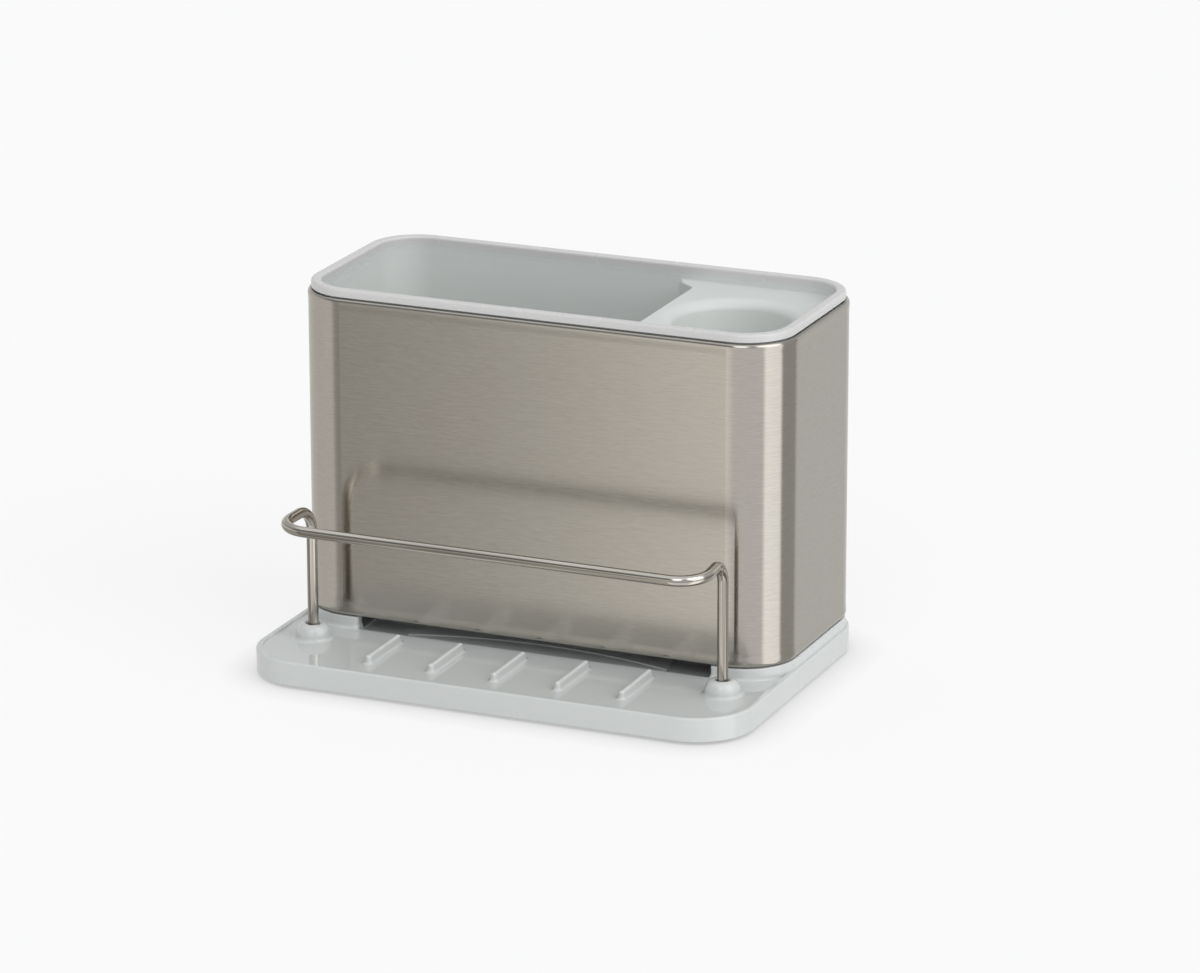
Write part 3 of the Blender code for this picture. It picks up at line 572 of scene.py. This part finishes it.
# Rail. One stainless wire, drawn and polished along its length, and bent on a
# former: up out of one boss, forward, across the front and back down again.
RAIL_FOOT = base_low.z + 1.9 * MM
RAIL_ARM = TRAY_FLOOR + 46.8 * MM
RAIL_FRONT = BASE_FRONT + 5 * MM
RAIL_SPLAY, RAIL_FALL = 1.8 * MM, 0.8 * MM
POST_BEND, FRONT_BEND, WIRE_END = 8.4 * MM, 10.1 * MM, 0.5 * MM
DRAWN_LINES = (820.0, 820.0, 6.0)
DRAWN_TONES = ((0.42, 0.205, 0.186, 0.158), (0.58, 0.60, 0.57, 0.515))


def captured(tree, geometry, fields):
    """Keeps named fields, given with their kinds, on a geometry; returns the geometry and the fields."""
    keeper = add_node(tree, "GeometryNodeCaptureAttribute")
    for name, (kind, _) in fields.items():
        keeper.capture_items.new(kind, name)
    feed(keeper, dict(enumerate([geometry] + [value for _, value in fields.values()])))
    return keeper.outputs


def stored(tree, geometry, name, value):
    """Writes a vector on each point of a geometry, which the finish reads by its name."""
    values = {"Geometry": geometry, "Name": name, "Value": value}
    kind = {"data_type": "FLOAT_VECTOR", "domain": "POINT"}
    return add_node(tree, "GeometryNodeStoreNamedAttribute", values, **kind).outputs[0]


def point_number(tree, name):
    """The number that each point of a geometry carries under a name."""
    carried = add_node(tree, "GeometryNodeInputNamedAttribute", {"Name": name}, data_type="FLOAT")
    return carried.outputs["Attribute"]


def bent_wire():
    """Geometry Nodes: the wire's corners bent to their radii, with a round section carried along them."""
    inputs = {"Geometry": "Mesh", "Radius": "Size", "Sides": "Count", "Bend steps": "Count",
              "Steel": "Material"}
    tree, size, result = tree_with("bent_wire", inputs)
    line = add_node(tree, "GeometryNodeMeshToCurve", {"Mesh": size["Geometry"]}).outputs[0]
    bends = {"Curve": line, "Count": size["Bend steps"], "Radius": point_number(tree, "bend")}
    bent = add_node(tree, "GeometryNodeFilletCurve", bends, mode="POLY").outputs[0]
    tangent = add_node(tree, "GeometryNodeInputTangent").outputs[0]
    length = add_node(tree, "GeometryNodeSplineParameter").outputs["Length"]
    run = captured(tree, bent, {"run": ("VECTOR", tangent), "along": ("FLOAT", length)})
    circle = {"Resolution": size["Sides"], "Radius": size["Radius"]}
    section = add_node(tree, "GeometryNodeCurvePrimitiveCircle", circle).outputs[0]
    place = add_node(tree, "GeometryNodeInputPosition").outputs[0]
    around = captured(tree, section, {"around": ("VECTOR", place)})
    sweep = {"Curve": run[0], "Profile Curve": around[0], "Fill Caps": True,
             "Scale": point_number(tree, "thickness")}
    swept = add_node(tree, "GeometryNodeCurveToMesh", sweep).outputs[0]
    split = add_node(tree, "ShaderNodeSeparateXYZ", {0: around[1]}).outputs
    drawn = add_node(tree, "ShaderNodeCombineXYZ", {"X": split[0], "Y": split[1], "Z": run[2]}).outputs[0]
    kept = stored(tree, stored(tree, swept, "run", run[1]), "drawn", drawn)
    return end_tree(tree, kept, size["Steel"], result)


def wire_corners():
    """The wire's corners as a line of points, each with its bend radius and thickness."""
    right = [(POST_X, POST_Y, RAIL_FOOT), (POST_X, POST_Y, RAIL_FOOT + WIRE_END), (POST_X, POST_Y, RAIL_ARM),
             (POST_X + RAIL_SPLAY, RAIL_FRONT, RAIL_ARM - RAIL_FALL)]
    points = [(-x, y, z) for x, y, z in right] + right[::-1]
    half = [(0, 1 - WIRE_END / WIRE_RADIUS), (0, 1), (POST_BEND, 1), (FRONT_BEND, 1)]
    mesh = bpy.data.meshes.new("wire_corners")
    mesh.from_pydata(points, [(here, here + 1) for here in range(len(points) - 1)], [])
    for label, column in (("bend", 0), ("thickness", 1)):
        values = mesh.attributes.new(label, "FLOAT", "POINT")
        values.data.foreach_set("value", [pair[column] for pair in half + half[::-1]])
    return mesh


def grain_tangent(tree):
    """The direction across the grain, in which a scratched metal spreads its highlights."""
    run = add_node(tree, "ShaderNodeAttribute", attribute_name="run").outputs["Vector"]
    normal = add_node(tree, "ShaderNodeNewGeometry").outputs["Normal"]
    return add_node(tree, "ShaderNodeVectorMath", {0: normal, 1: run}, operation="CROSS_PRODUCT").outputs[0]


def stretched(tree, place, scale):
    """A place scaled by its own amount along each axis, to draw a pattern out."""
    return add_node(tree, "ShaderNodeMapping", {"Vector": place, "Scale": scale}).outputs[0]


def ramp(tree, value, tones):
    """A colour that runs through (position, red, green, blue) stops."""
    node = add_node(tree, "ShaderNodeValToRGB", {"Fac": value})
    stops = node.color_ramp.elements
    while len(stops) < len(tones):
        stops.new(0.5)
    for stop, (position, *colour) in zip(stops, tones):
        stop.position = position
        stop.color = (*colour, 1)
    return node.outputs["Color"]


def drawn_steel():
    """Polished stainless wire with fine drawing lines along its length."""
    material, tree, shader = finish_for("rail_steel", {"Metallic": 1.0, "Anisotropic": 0.45})
    drawn = add_node(tree, "ShaderNodeAttribute", attribute_name="drawn").outputs["Vector"]
    scratch = noise(tree, stretched(tree, drawn, DRAWN_LINES), scale=1.0, detail=4.0, roughness=0.55)
    feed(shader, {"Base Color": ramp(tree, scratch, DRAWN_TONES),
                  "Roughness": span_of(tree, scratch, 0.3, 0.7, low=0.11, high=0.19),
                  "Normal": relief(tree, scratch, strength=0.4, distance=0.006 * MM),
                  "Tangent": grain_tangent(tree)})
    return material


rail_finish = drawn_steel()
wire_sizes = {"Radius": WIRE_RADIUS, "Sides": 40, "Bend steps": 20, "Steel": rail_finish}
rail = grown("rail_wire", bent_wire(), wire_sizes, wire_corners())
polished_shading(rail, rail_finish, 40)
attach(rail, "rail")
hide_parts("rail")

# Sleeve. A band of stainless sheet, brushed lengthwise, bent to a rounded
# oblong and closed on itself, with its edges rolled inwards at top and foot.
SHEET, SLEEVE_MIDDLE = 0.8 * MM, (SLEEVE_FRONT + SLEEVE_BACK) / 2
HEM_HEIGHT, HEM_LEAD, HEM_SWELL = 3.0 * MM, 4.2 * MM, 0.12 * MM
FOOT_HEM, TOP_HEM = 1.7 * MM, 2.2 * MM
STREAKS, HAIRLINES, HAIRLINE_SHARE = (170.0, 170.0, 4200.0), (560.0, 560.0, 7800.0), 0.4
BRUSHED_TONES = ((0.36, 0.390, 0.374, 0.341), (0.64, 0.466, 0.447, 0.408))
BRUSHED_WARMTH = (1.0, 0.965, 0.955, 1)


def hem_profile(end, inward, width):
    """(outwards, height) from the sheet's outside round a rolled edge to its inside."""
    profile = [(0.0, end + inward * HEM_LEAD)]
    for part in (0.25, 0.5, 0.75):
        rise = HEM_LEAD + (HEM_HEIGHT / 2 - HEM_LEAD) * part
        profile.append((HEM_SWELL * part * part * (3 - 2 * part), end + inward * rise))
    middle = end + inward * HEM_HEIGHT / 2
    for step in range(17):
        turn = math.pi * step / 16
        out = HEM_SWELL - width / 2 * (1 - math.cos(turn))
        profile.append((out, middle - inward * HEM_HEIGHT / 2 * math.sin(turn)))
    return profile + [(-SHEET, end + inward * (HEM_HEIGHT + SHEET))]


def sheet_section():
    """The sheet's upright section with both rolled edges, as a closed curve in its own plane."""
    points = hem_profile(sleeve_low.z, 1, FOOT_HEM) + hem_profile(sleeve_high.z, -1, TOP_HEM)[::-1]
    curve = bpy.data.curves.new("sheet_section", "CURVE")
    curve.dimensions = "3D"
    spline = curve.splines.new("POLY")
    spline.points.add(len(points) - 1)
    for point, (out, z) in zip(spline.points, points):
        point.co = (out, -z, 0, 1)
    spline.use_cyclic_u = True
    return in_scene("sheet_section", curve)


def steel_band():
    """Geometry Nodes: a rounded oblong with the sheet's section carried round it."""
    inputs = {"Section": "Object", "Width": "Size", "Depth": "Size", "Corner": "Size",
              "Corner steps": "Count", "Middle": "Place", "Steel": "Material"}
    tree, size, result = tree_with("steel_band", inputs)
    sides = {0: size["Width"], 1: size["Depth"]}
    oblong = add_node(tree, "GeometryNodeCurvePrimitiveQuadrilateral", sides).outputs[0]
    move = {"Geometry": oblong, "Offset": size["Middle"]}
    placed = add_node(tree, "GeometryNodeSetPosition", move).outputs[0]
    bends = {"Curve": placed, "Count": size["Corner steps"], "Radius": size["Corner"]}
    rounded = add_node(tree, "GeometryNodeFilletCurve", bends, mode="POLY").outputs[0]
    tangent = add_node(tree, "GeometryNodeInputTangent").outputs[0]
    run = captured(tree, rounded, {"run": ("VECTOR", tangent)})
    section = add_node(tree, "GeometryNodeObjectInfo", {"Object": size["Section"]}).outputs["Geometry"]
    swept = add_node(tree, "GeometryNodeCurveToMesh", {"Curve": run[0], "Profile Curve": section}).outputs[0]
    return end_tree(tree, stored(tree, swept, "run", run[1]), size["Steel"], result)


def brushed_steel():
    """Brushed stainless sheet: short level scratches in colour, gloss and relief, over a faint cloudiness."""
    material, tree, shader = finish_for("sleeve_steel", {"Metallic": 1.0, "Anisotropic": 0.8})
    place = object_place(tree)
    streak = noise(tree, stretched(tree, place, STREAKS), scale=1.0, detail=5.0, roughness=0.62)
    hair = noise(tree, stretched(tree, place, HAIRLINES), scale=1.0, detail=3.0, roughness=0.7)
    both = {0: HAIRLINE_SHARE, 2: streak, 3: hair}
    grain = add_node(tree, "ShaderNodeMix", both, data_type="FLOAT").outputs[0]
    tone = ramp(tree, grain, BRUSHED_TONES)
    cloud = noise(tree, place, scale=22.0, detail=3.0)
    feed(shader, {"Base Color": tone_between(tree, cloud, tone, BRUSHED_WARMTH, blend_type="MULTIPLY"),
                  "Roughness": span_of(tree, grain, 0.3, 0.7, low=0.13, high=0.18),
                  "Normal": relief(tree, grain, strength=0.2, distance=0.004 * MM),
                  "Tangent": grain_tangent(tree)})
    return material


def faced_outwards(piece):
    """Turns all faces of a closed body outwards."""
    shape = bmesh.new()
    shape.from_mesh(piece.data)
    bmesh.ops.recalc_face_normals(shape, faces=shape.faces)
    shape.to_mesh(piece.data)
    shape.free()


sleeve_finish = brushed_steel()
section = sheet_section()
band_sizes = {"Section": section, "Width": 2 * SLEEVE_HALF, "Depth": SLEEVE_BACK - SLEEVE_FRONT,
              "Corner": SLEEVE_CORNER, "Corner steps": 28, "Middle": (0, SLEEVE_MIDDLE, 0),
              "Steel": sleeve_finish}
sleeve = grown("steel_sleeve", steel_band(), band_sizes)
bpy.data.objects.remove(section)
faced_outwards(sleeve)
polished_shading(sleeve, sleeve_finish, 45)
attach(sleeve, "sleeve")
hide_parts("sleeve")

# Caddy. One moulding in the same pale grey plastic, which hangs in the sleeve
# by its rim: a tall compartment with drain holes, a partition with flared
# ends, and a shelf with a round bowl that hangs in the open space under it.
caddy_low, caddy_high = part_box("caddy")
RIM_TOP, RIM_FOOT = caddy_high.z, caddy_high.z - 2.8 * MM
RIM_GROW, RIM_ROUNDING, RIM_UNDERCURVE = -1.1 * MM, 0.9 * MM, 0.3 * MM
WALL_GROW, CADDY_WALL, CADDY_DRAFT = -2.6 * MM, 2 * MM, 1.5 * MM
INSIDE = WALL_GROW - CADDY_WALL
CADDY_FOOT, CADDY_FLOOR = caddy_low.z, caddy_low.z + CADDY_WALL
CADDY_FOOT_ROUNDING, FLOOR_FILLET = 1.2 * MM, 4 * MM
SHELF, SHELF_FILLET, SHELF_WIDTH = RIM_TOP - 5.9 * MM, 1.2 * MM, 54.4 * MM
SHELF_WALL = SHELF + SHELF_FILLET + 1.4 * MM
PARTITION, PARTITION_ROUNDING = SLEEVE_HALF + INSIDE - SHELF_WIDTH, 0.6 * MM
COMPARTMENT_MOUTH = ((-0.03 * MM, 0.1 * MM), (0.6 * MM, 0.6 * MM))
GUSSET_X, GUSSET_Y = 7 * MM, 5.5 * MM
GUSSET_CORNER, GUSSET_BEND = 1.6 * MM, 3 * MM
SKIRT_CORNER, SKIRT_BEND = 0.8 * MM, 1.5 * MM
BOWL_X = SLEEVE_HALF + INSIDE - SHELF_WIDTH / 2
BOWL_RADIUS, BOWL_LIP, BOWL_LIP_DROP = 25.4 * MM, 4.8 * MM, 3.6 * MM
BOWL_BOTTOM, BOWL_CURVE, BOWL_DRAFT = SHELF - 34 * MM, 17 * MM, 1.6 * MM
BOWL_DRAIN, BOWL_CLEAR, BOWL_RISE = 3 * MM, 0.05 * MM, 0.02 * MM
DRAIN_COLUMNS, DRAIN_ROWS, DRAIN_PITCH, DRAIN_RADIUS = 5, 3, 18 * MM, 2.5 * MM
SHELF_GREY = (0.582, 0.604, 0.594, 1)
SHELF_GREY_PALE = (0.618, 0.642, 0.632, 1)
# Painted light: a paler grey for the caddy's inside below the shelf, which lifts its shade
INSIDE_PAINTED_LIGHT_GREY = (0.640, 0.665, 0.648, 1)
# Painted shade: a more neutral, slightly darker grey for the rim's top, which the lamps light brightest
RIM_PAINTED_SHADE_GREY = (0.585, 0.583, 0.577, 1)
ETCHED_AND_LIGHTENED_SPAN, ETCHED_ROUGHNESS = (SHELF + 3 * MM, SHELF - 3 * MM), 0.42
RIM_SHADE_SPAN = (RIM_TOP - 3.4 * MM, RIM_TOP - 1.6 * MM)


def lean(z):
    """How far a wall of the caddy has leaned in at a height, by its draft."""
    return CADDY_DRAFT * (RIM_FOOT - z) / (RIM_FOOT - CADDY_FOOT)


def caddy_shell():
    """The caddy's outer form from its rounded foot up, over the rounded rim, and down to the shelf."""
    foot = edge_curve(WALL_GROW, CADDY_FOOT, CADDY_FOOT_ROUNDING, -CADDY_FOOT_ROUNDING, 6)[::-1]
    outline = [(grow - lean(z), z) for grow, z in foot] + [(WALL_GROW, RIM_FOOT)]
    outline += edge_curve(RIM_GROW, RIM_FOOT, RIM_UNDERCURVE, -RIM_UNDERCURVE, 3)[::-1]
    outline += edge_curve(RIM_GROW, RIM_TOP, RIM_ROUNDING, RIM_ROUNDING, 8)
    outline += edge_curve(INSIDE, RIM_TOP, -RIM_ROUNDING, RIM_ROUNDING, 8)[::-1]
    outline.append((INSIDE, SHELF_WALL))
    outline += fillet_curve(INSIDE, SHELF, -SHELF_FILLET, SHELF_FILLET, 6)[::-1]
    return lofted("caddy_moulding", [sleeve_ring(grow, z) for grow, z in outline])


def inner_walls(inset):
    """The caddy's inside, moved in by inset: half its width, its front, its back and its corner."""
    grow = INSIDE - inset
    return SLEEVE_HALF + grow, SLEEVE_FRONT - grow, SLEEVE_BACK + grow, SLEEVE_CORNER + grow


def compartment_ring(inset, partition, z):
    """Plan of the tall compartment: round corners on the left, flared partition on the right."""
    half, front, back, corner = inner_walls(inset)
    corners = [(partition - GUSSET_X, back), (-half, back), (-half, front), (partition - GUSSET_X, front),
               (partition, front + GUSSET_Y), (partition, back - GUSSET_Y)]
    radii = [GUSSET_CORNER, corner, corner, GUSSET_CORNER, GUSSET_BEND, GUSSET_BEND]
    return level(rounded_plan(corners, radii), z)


def compartment():
    """The tall compartment, with draft, a rounded floor and a softened edge along the partition."""
    rings = []
    for away, z in fillet_curve(0, CADDY_FLOOR, FLOOR_FILLET, FLOOR_FILLET, 10):
        rings.append(compartment_ring(lean(z) + away, PARTITION - lean(z) - away, z))
    for edge, z in edge_curve(PARTITION, SHELF, -PARTITION_ROUNDING, PARTITION_ROUNDING, 6):
        rings.append(compartment_ring(lean(z), edge - lean(z), z))
    edge = PARTITION - lean(SHELF) + PARTITION_ROUNDING
    for inset, rise in COMPARTMENT_MOUTH:
        rings.append(compartment_ring(inset, edge, SHELF + SHELF_FILLET + rise))
    return lofted("compartment", rings)


def bowl_profile(grow):
    """(radius, height) down the bowl from its rounded lip, moved outwards by grow."""
    throat = BOWL_RADIUS - BOWL_LIP + grow
    spring = BOWL_BOTTOM + BOWL_CURVE
    profile = edge_curve(throat, SHELF, -BOWL_LIP, BOWL_LIP_DROP, 16)[::-1]
    for step in range(18):
        turn = math.pi / 2 * step / 18
        across, down = throat - BOWL_DRAFT, BOWL_CURVE + grow
        profile.append((across * math.cos(turn), spring - down * math.sin(turn)))
    return [pair for pair in profile if pair[0] > BOWL_DRAIN] + [(BOWL_DRAIN, BOWL_BOTTOM - grow)]


def skirt_space():
    """The space under the shelf and round the bowl, open below."""
    rings = []
    for z in (CADDY_FOOT - OVERRUN, SHELF - CADDY_WALL):
        half, front, back, corner = inner_walls(lean(z))
        edge = PARTITION + CADDY_WALL + lean(z)
        corners = [(half, back), (edge - GUSSET_X, back), (edge, back - GUSSET_Y),
                   (edge, front + GUSSET_Y), (edge - GUSSET_X, front), (half, front)]
        radii = [corner, SKIRT_CORNER, SKIRT_BEND, SKIRT_BEND, SKIRT_CORNER, corner]
        rings.append(level(rounded_plan(corners, radii, 12), z))
    space = lofted("skirt_space", rings)
    wall = turned("bowl_wall", BOWL_X, SLEEVE_MIDDLE, bowl_profile(CADDY_WALL), sides=96)
    combine(space, wall, "DIFFERENCE")
    return space


def bowl_space():
    """The bowl's inside, opened out a little over the shelf."""
    mouth = [(BOWL_RADIUS + BOWL_CLEAR, SHELF + rise) for rise in (SHELF_FILLET / 2, BOWL_RISE)]
    return turned("bowl", BOWL_X, SLEEVE_MIDDLE, mouth + bowl_profile(0.0)[1:], sides=128)


def drain_grid():
    """Geometry Nodes: a grid of round punches for the drain holes in the floor."""
    inputs = {"Columns": "Count", "Rows": "Count", "Pitch": "Size", "Radius": "Size", "Depth": "Size",
              "Middle": "Place", "Plastic": "Material"}
    tree, size, result = tree_with("drain_grid", inputs)
    width, depth = [row_length(tree, size[label], size["Pitch"]) for label in ("Columns", "Rows")]
    spread = {"Size X": width, "Size Y": depth, "Vertices X": size["Columns"], "Vertices Y": size["Rows"]}
    grid = add_node(tree, "GeometryNodeMeshGrid", spread).outputs[0]
    moved = add_node(tree, "GeometryNodeSetPosition", {"Geometry": grid, "Offset": size["Middle"]}).outputs[0]
    cylinder = {"Vertices": 32, "Radius": size["Radius"], "Depth": size["Depth"]}
    punch = add_node(tree, "GeometryNodeMeshCylinder", cylinder).outputs[0]
    placed = add_node(tree, "GeometryNodeInstanceOnPoints", {"Points": moved, "Instance": punch}).outputs[0]
    return end_tree(tree, placed, size["Plastic"], result)


def satin_plastic():
    """The same grey plastic, satin and finely textured inside, and smoother on the shelf and rim. The inside
    is painted paler to lift its shade, and the rim's top is a more neutral grey painted a little darker, as
    painted shade.
    """
    material, tree, shader = finish_for("caddy_plastic", {"IOR": 1.5})
    place = object_place(tree)
    height = add_node(tree, "ShaderNodeSeparateXYZ", {0: place}).outputs["Z"]
    etched_and_painted_light = span_of(tree, height, *ETCHED_AND_LIGHTENED_SPAN)
    rim = span_of(tree, height, *RIM_SHADE_SPAN)
    cloud = noise(tree, place, scale=34.0, detail=4.0, roughness=0.55)
    tone = tone_between(tree, cloud, SHELF_GREY, SHELF_GREY_PALE)
    # Painted light: below the shelf the inside is painted paler to lift its shade; the same mask also
    # roughens and pits it, as an etched texture
    tone = tone_between(tree, etched_and_painted_light, tone, INSIDE_PAINTED_LIGHT_GREY)
    wear = noise(tree, place, scale=160.0, detail=3.0)
    both = {0: etched_and_painted_light, 2: span_of(tree, wear, 0.3, 0.7, low=0.24, high=0.28), 3: ETCHED_ROUGHNESS}
    rough = add_node(tree, "ShaderNodeMix", both, data_type="FLOAT").outputs[0]
    pits = maths(tree, "MULTIPLY", noise(tree, place, scale=2400.0, detail=3.0), etched_and_painted_light)
    # Painted shade: the rim's top is painted a more neutral, slightly darker grey
    feed(shader, {"Base Color": tone_between(tree, rim, tone, RIM_PAINTED_SHADE_GREY), "Roughness": rough,
                  "Normal": relief(tree, pits, strength=0.3, distance=0.010 * MM)})
    return material


caddy_finish = satin_plastic()
caddy = caddy_shell()
for cutter in (compartment(), skirt_space(), bowl_space()):
    combine(caddy, cutter, "DIFFERENCE")
grid_sizes = {"Columns": DRAIN_COLUMNS, "Rows": DRAIN_ROWS, "Pitch": DRAIN_PITCH, "Radius": DRAIN_RADIUS,
              "Depth": 3 * CADDY_WALL, "Plastic": caddy_finish,
              "Middle": (-SHELF_WIDTH / 2, SLEEVE_MIDDLE, CADDY_FLOOR - CADDY_WALL / 2)}
combine(caddy, grown("drains", drain_grid(), grid_sizes), "DIFFERENCE")
drain_low, drain_high = BOWL_BOTTOM - CADDY_WALL - OVERRUN, BOWL_BOTTOM + OVERRUN
combine(caddy, pin("bowl_drain", BOWL_X, SLEEVE_MIDDLE, BOWL_DRAIN, drain_low, drain_high), "DIFFERENCE")
polished_shading(caddy, caddy_finish)
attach(caddy, "caddy")
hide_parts("caddy")

# Worktop, light and camera. A plain white worktop under a pale studio dome,
# with one softbox on the right and one in front. Low round the dome stand
# upright softboxes and gaps, which the brushed steel mirrors as upright bands.
WORKTOP_WHITE = {"Base Color": (0.93, 0.93, 0.93, 1), "Roughness": 0.9, "Specular IOR Level": 0.0}
WORKTOP_CORNERS = [(-6, -3, 0), (6, -3, 0), (6, 9, 0), (-6, 9, 0)]
# The worktop's glow share, and the reach and depths of a contact shadow painted into that glow
WORKTOP_GLOW, SHADOW_REACH = 0.82, 0.014
SHADOW_DEEPEST, SHADOW_NONE = 0.50, 0.957
# The dome's colour low down and its tone at the ceiling's edge, by compass degrees from the front
SURROUND = ((-180, 0.80, 0.79, 0.76), (-120, 0.78, 0.77, 0.74), (-47, 0.86, 0.84, 0.82),
            (-43, 0.72, 0.70, 0.67), (-38, 0.50, 0.50, 0.48), (-30, 0.455, 0.45, 0.43),
            (-26.2, 0.465, 0.46, 0.44), (-24, 0.66, 0.65, 0.62), (-22.4, 1.08, 1.07, 1.02),
            (-21.4, 1.28, 1.26, 1.20), (-14, 1.16, 1.14, 1.10), (-6, 0.98, 0.96, 0.96),
            (4, 0.95, 0.93, 0.95), (56, 0.96, 0.94, 0.97), (63, 1.66, 1.66, 1.66),
            (97, 1.54, 1.54, 1.54), (103, 0.52, 0.52, 0.50), (142, 0.50, 0.50, 0.48),
            (150, 0.78, 0.78, 0.78), (180, 0.80, 0.79, 0.76))
CEILING = ((-180, 0.56), (-75, 0.56), (-62, 0.28), (-8, 0.28), (-2, 0.95), (18, 0.95), (26, 0.56),
           (180, 0.56))
CEILING_MIDDLE = (0.97, 0.98, 0.99, 1)
CEILING_START, MIDDLE_START = (0.20, 0.40), (0.68, 0.86)

AZIMUTH, ELEVATION, ROLL = 23.15, 17.38, -0.08
TARGET, DISTANCE = Vector((-86.38, 241.95, -18.35)) * MM, 2225.95 * MM
FOCAL_PIXELS, FRAME_PIXELS, SENSOR_WIDTH = 5788.33, 1200, 36.0


def worktop():
    """A white floor that fills the view, with the tidy's shadow partly cast and partly painted into its glow
    from ambient occlusion. Mirrored rays pass it to the studio.
    """
    mesh = bpy.data.meshes.new("worktop")
    mesh.from_pydata(WORKTOP_CORNERS, [], [(0, 1, 2, 3)])
    material, tree, shader = finish_for("white_worktop", WORKTOP_WHITE)
    ray = add_node(tree, "ShaderNodeLightPath").outputs
    clear = add_node(tree, "ShaderNodeBsdfTransparent").outputs[0]
    shades = {0: ray["Is Glossy Ray"], 1: shader.outputs[0], 2: clear}
    plain = add_node(tree, "ShaderNodeMixShader", shades).outputs[0]
    # Painted shadow: near the tidy the glow that the camera sees is darkened by ambient occlusion
    near = add_node(tree, "ShaderNodeAmbientOcclusion", {"Distance": SHADOW_REACH}, samples=8).outputs["AO"]
    soft = span_of(tree, near, 0.0, 1.0, SHADOW_DEEPEST, SHADOW_NONE)
    glow = add_node(tree, "ShaderNodeEmission", {"Strength": soft}).outputs[0]
    seen = maths(tree, "MULTIPLY", ray["Is Camera Ray"], WORKTOP_GLOW)
    lit = add_node(tree, "ShaderNodeMixShader", {0: seen, 1: plain, 2: glow}).outputs[0]
    feed(tree.nodes["Material Output"], {"Surface": lit})
    mesh.materials.append(material)
    return in_scene("worktop", mesh)


def studio_dome():
    """The pale dome: low softboxes and gaps all round, the dimmer ceiling's edge, and its bright middle."""
    world = bpy.data.worlds.new("studio")
    world.use_nodes = True
    tree = world.node_tree
    sight = add_node(tree, "ShaderNodeTexCoord").outputs["Generated"]
    ray = add_node(tree, "ShaderNodeSeparateXYZ", {0: sight}).outputs
    angle = maths(tree, "ARCTAN2", ray["X"], maths(tree, "MULTIPLY", ray["Y"], -1.0))
    turn = span_of(tree, angle, -math.pi, math.pi)
    ceiling = [(degrees, tone, tone * 1.015, tone * 1.03) for degrees, tone in CEILING]
    low, high = [ramp(tree, turn, [((degrees + 180) / 360, *colour) for degrees, *colour in band])
                 for band in (SURROUND, ceiling)]
    middle = span_of(tree, ray["Z"], *MIDDLE_START, interpolation_type="SMOOTHSTEP")
    above = span_of(tree, ray["Z"], *CEILING_START, interpolation_type="SMOOTHSTEP")
    dome = tone_between(tree, above, low, tone_between(tree, middle, high, CEILING_MIDDLE))
    feed(tree.nodes["Background"], {"Color": dome})
    return world


def towards(azimuth, elevation):
    """The direction to a compass angle from the front and a height, both in degrees."""
    turn, rise = math.radians(azimuth), math.radians(elevation)
    return Vector((math.sin(turn) * math.cos(rise), -math.cos(turn) * math.cos(rise), math.sin(rise)))


def softbox(name, azimuth, elevation, spread, strength):
    """A far softbox, given by its compass angle, its height and its apparent size in degrees."""
    light = bpy.data.lights.new(name, "SUN")
    light.energy = strength
    light.angle = math.radians(spread)
    in_scene(name, light).rotation_euler = towards(azimuth, elevation).to_track_quat("Z", "Y").to_euler()


worktop()
bpy.context.scene.world = studio_dome()
softbox("right_softbox", azimuth=76, elevation=38, spread=50, strength=1.0)
softbox("front_softbox", azimuth=8, elevation=42, spread=30, strength=0.35)

back = towards(AZIMUTH, ELEVATION)
lens = bpy.data.cameras.new("camera")
lens.sensor_width = SENSOR_WIDTH
lens.lens = FOCAL_PIXELS / FRAME_PIXELS * SENSOR_WIDTH
lens.clip_end = 30
camera = in_scene("camera", lens)
camera.location = TARGET + back * DISTANCE
roll = Quaternion((0, 0, 1), math.radians(ROLL))
camera.rotation_euler = ((-back).to_track_quat("-Z", "Y") @ roll).to_euler()
bpy.context.scene.camera = camera
bpy.context.scene.view_settings.view_transform = "Standard"
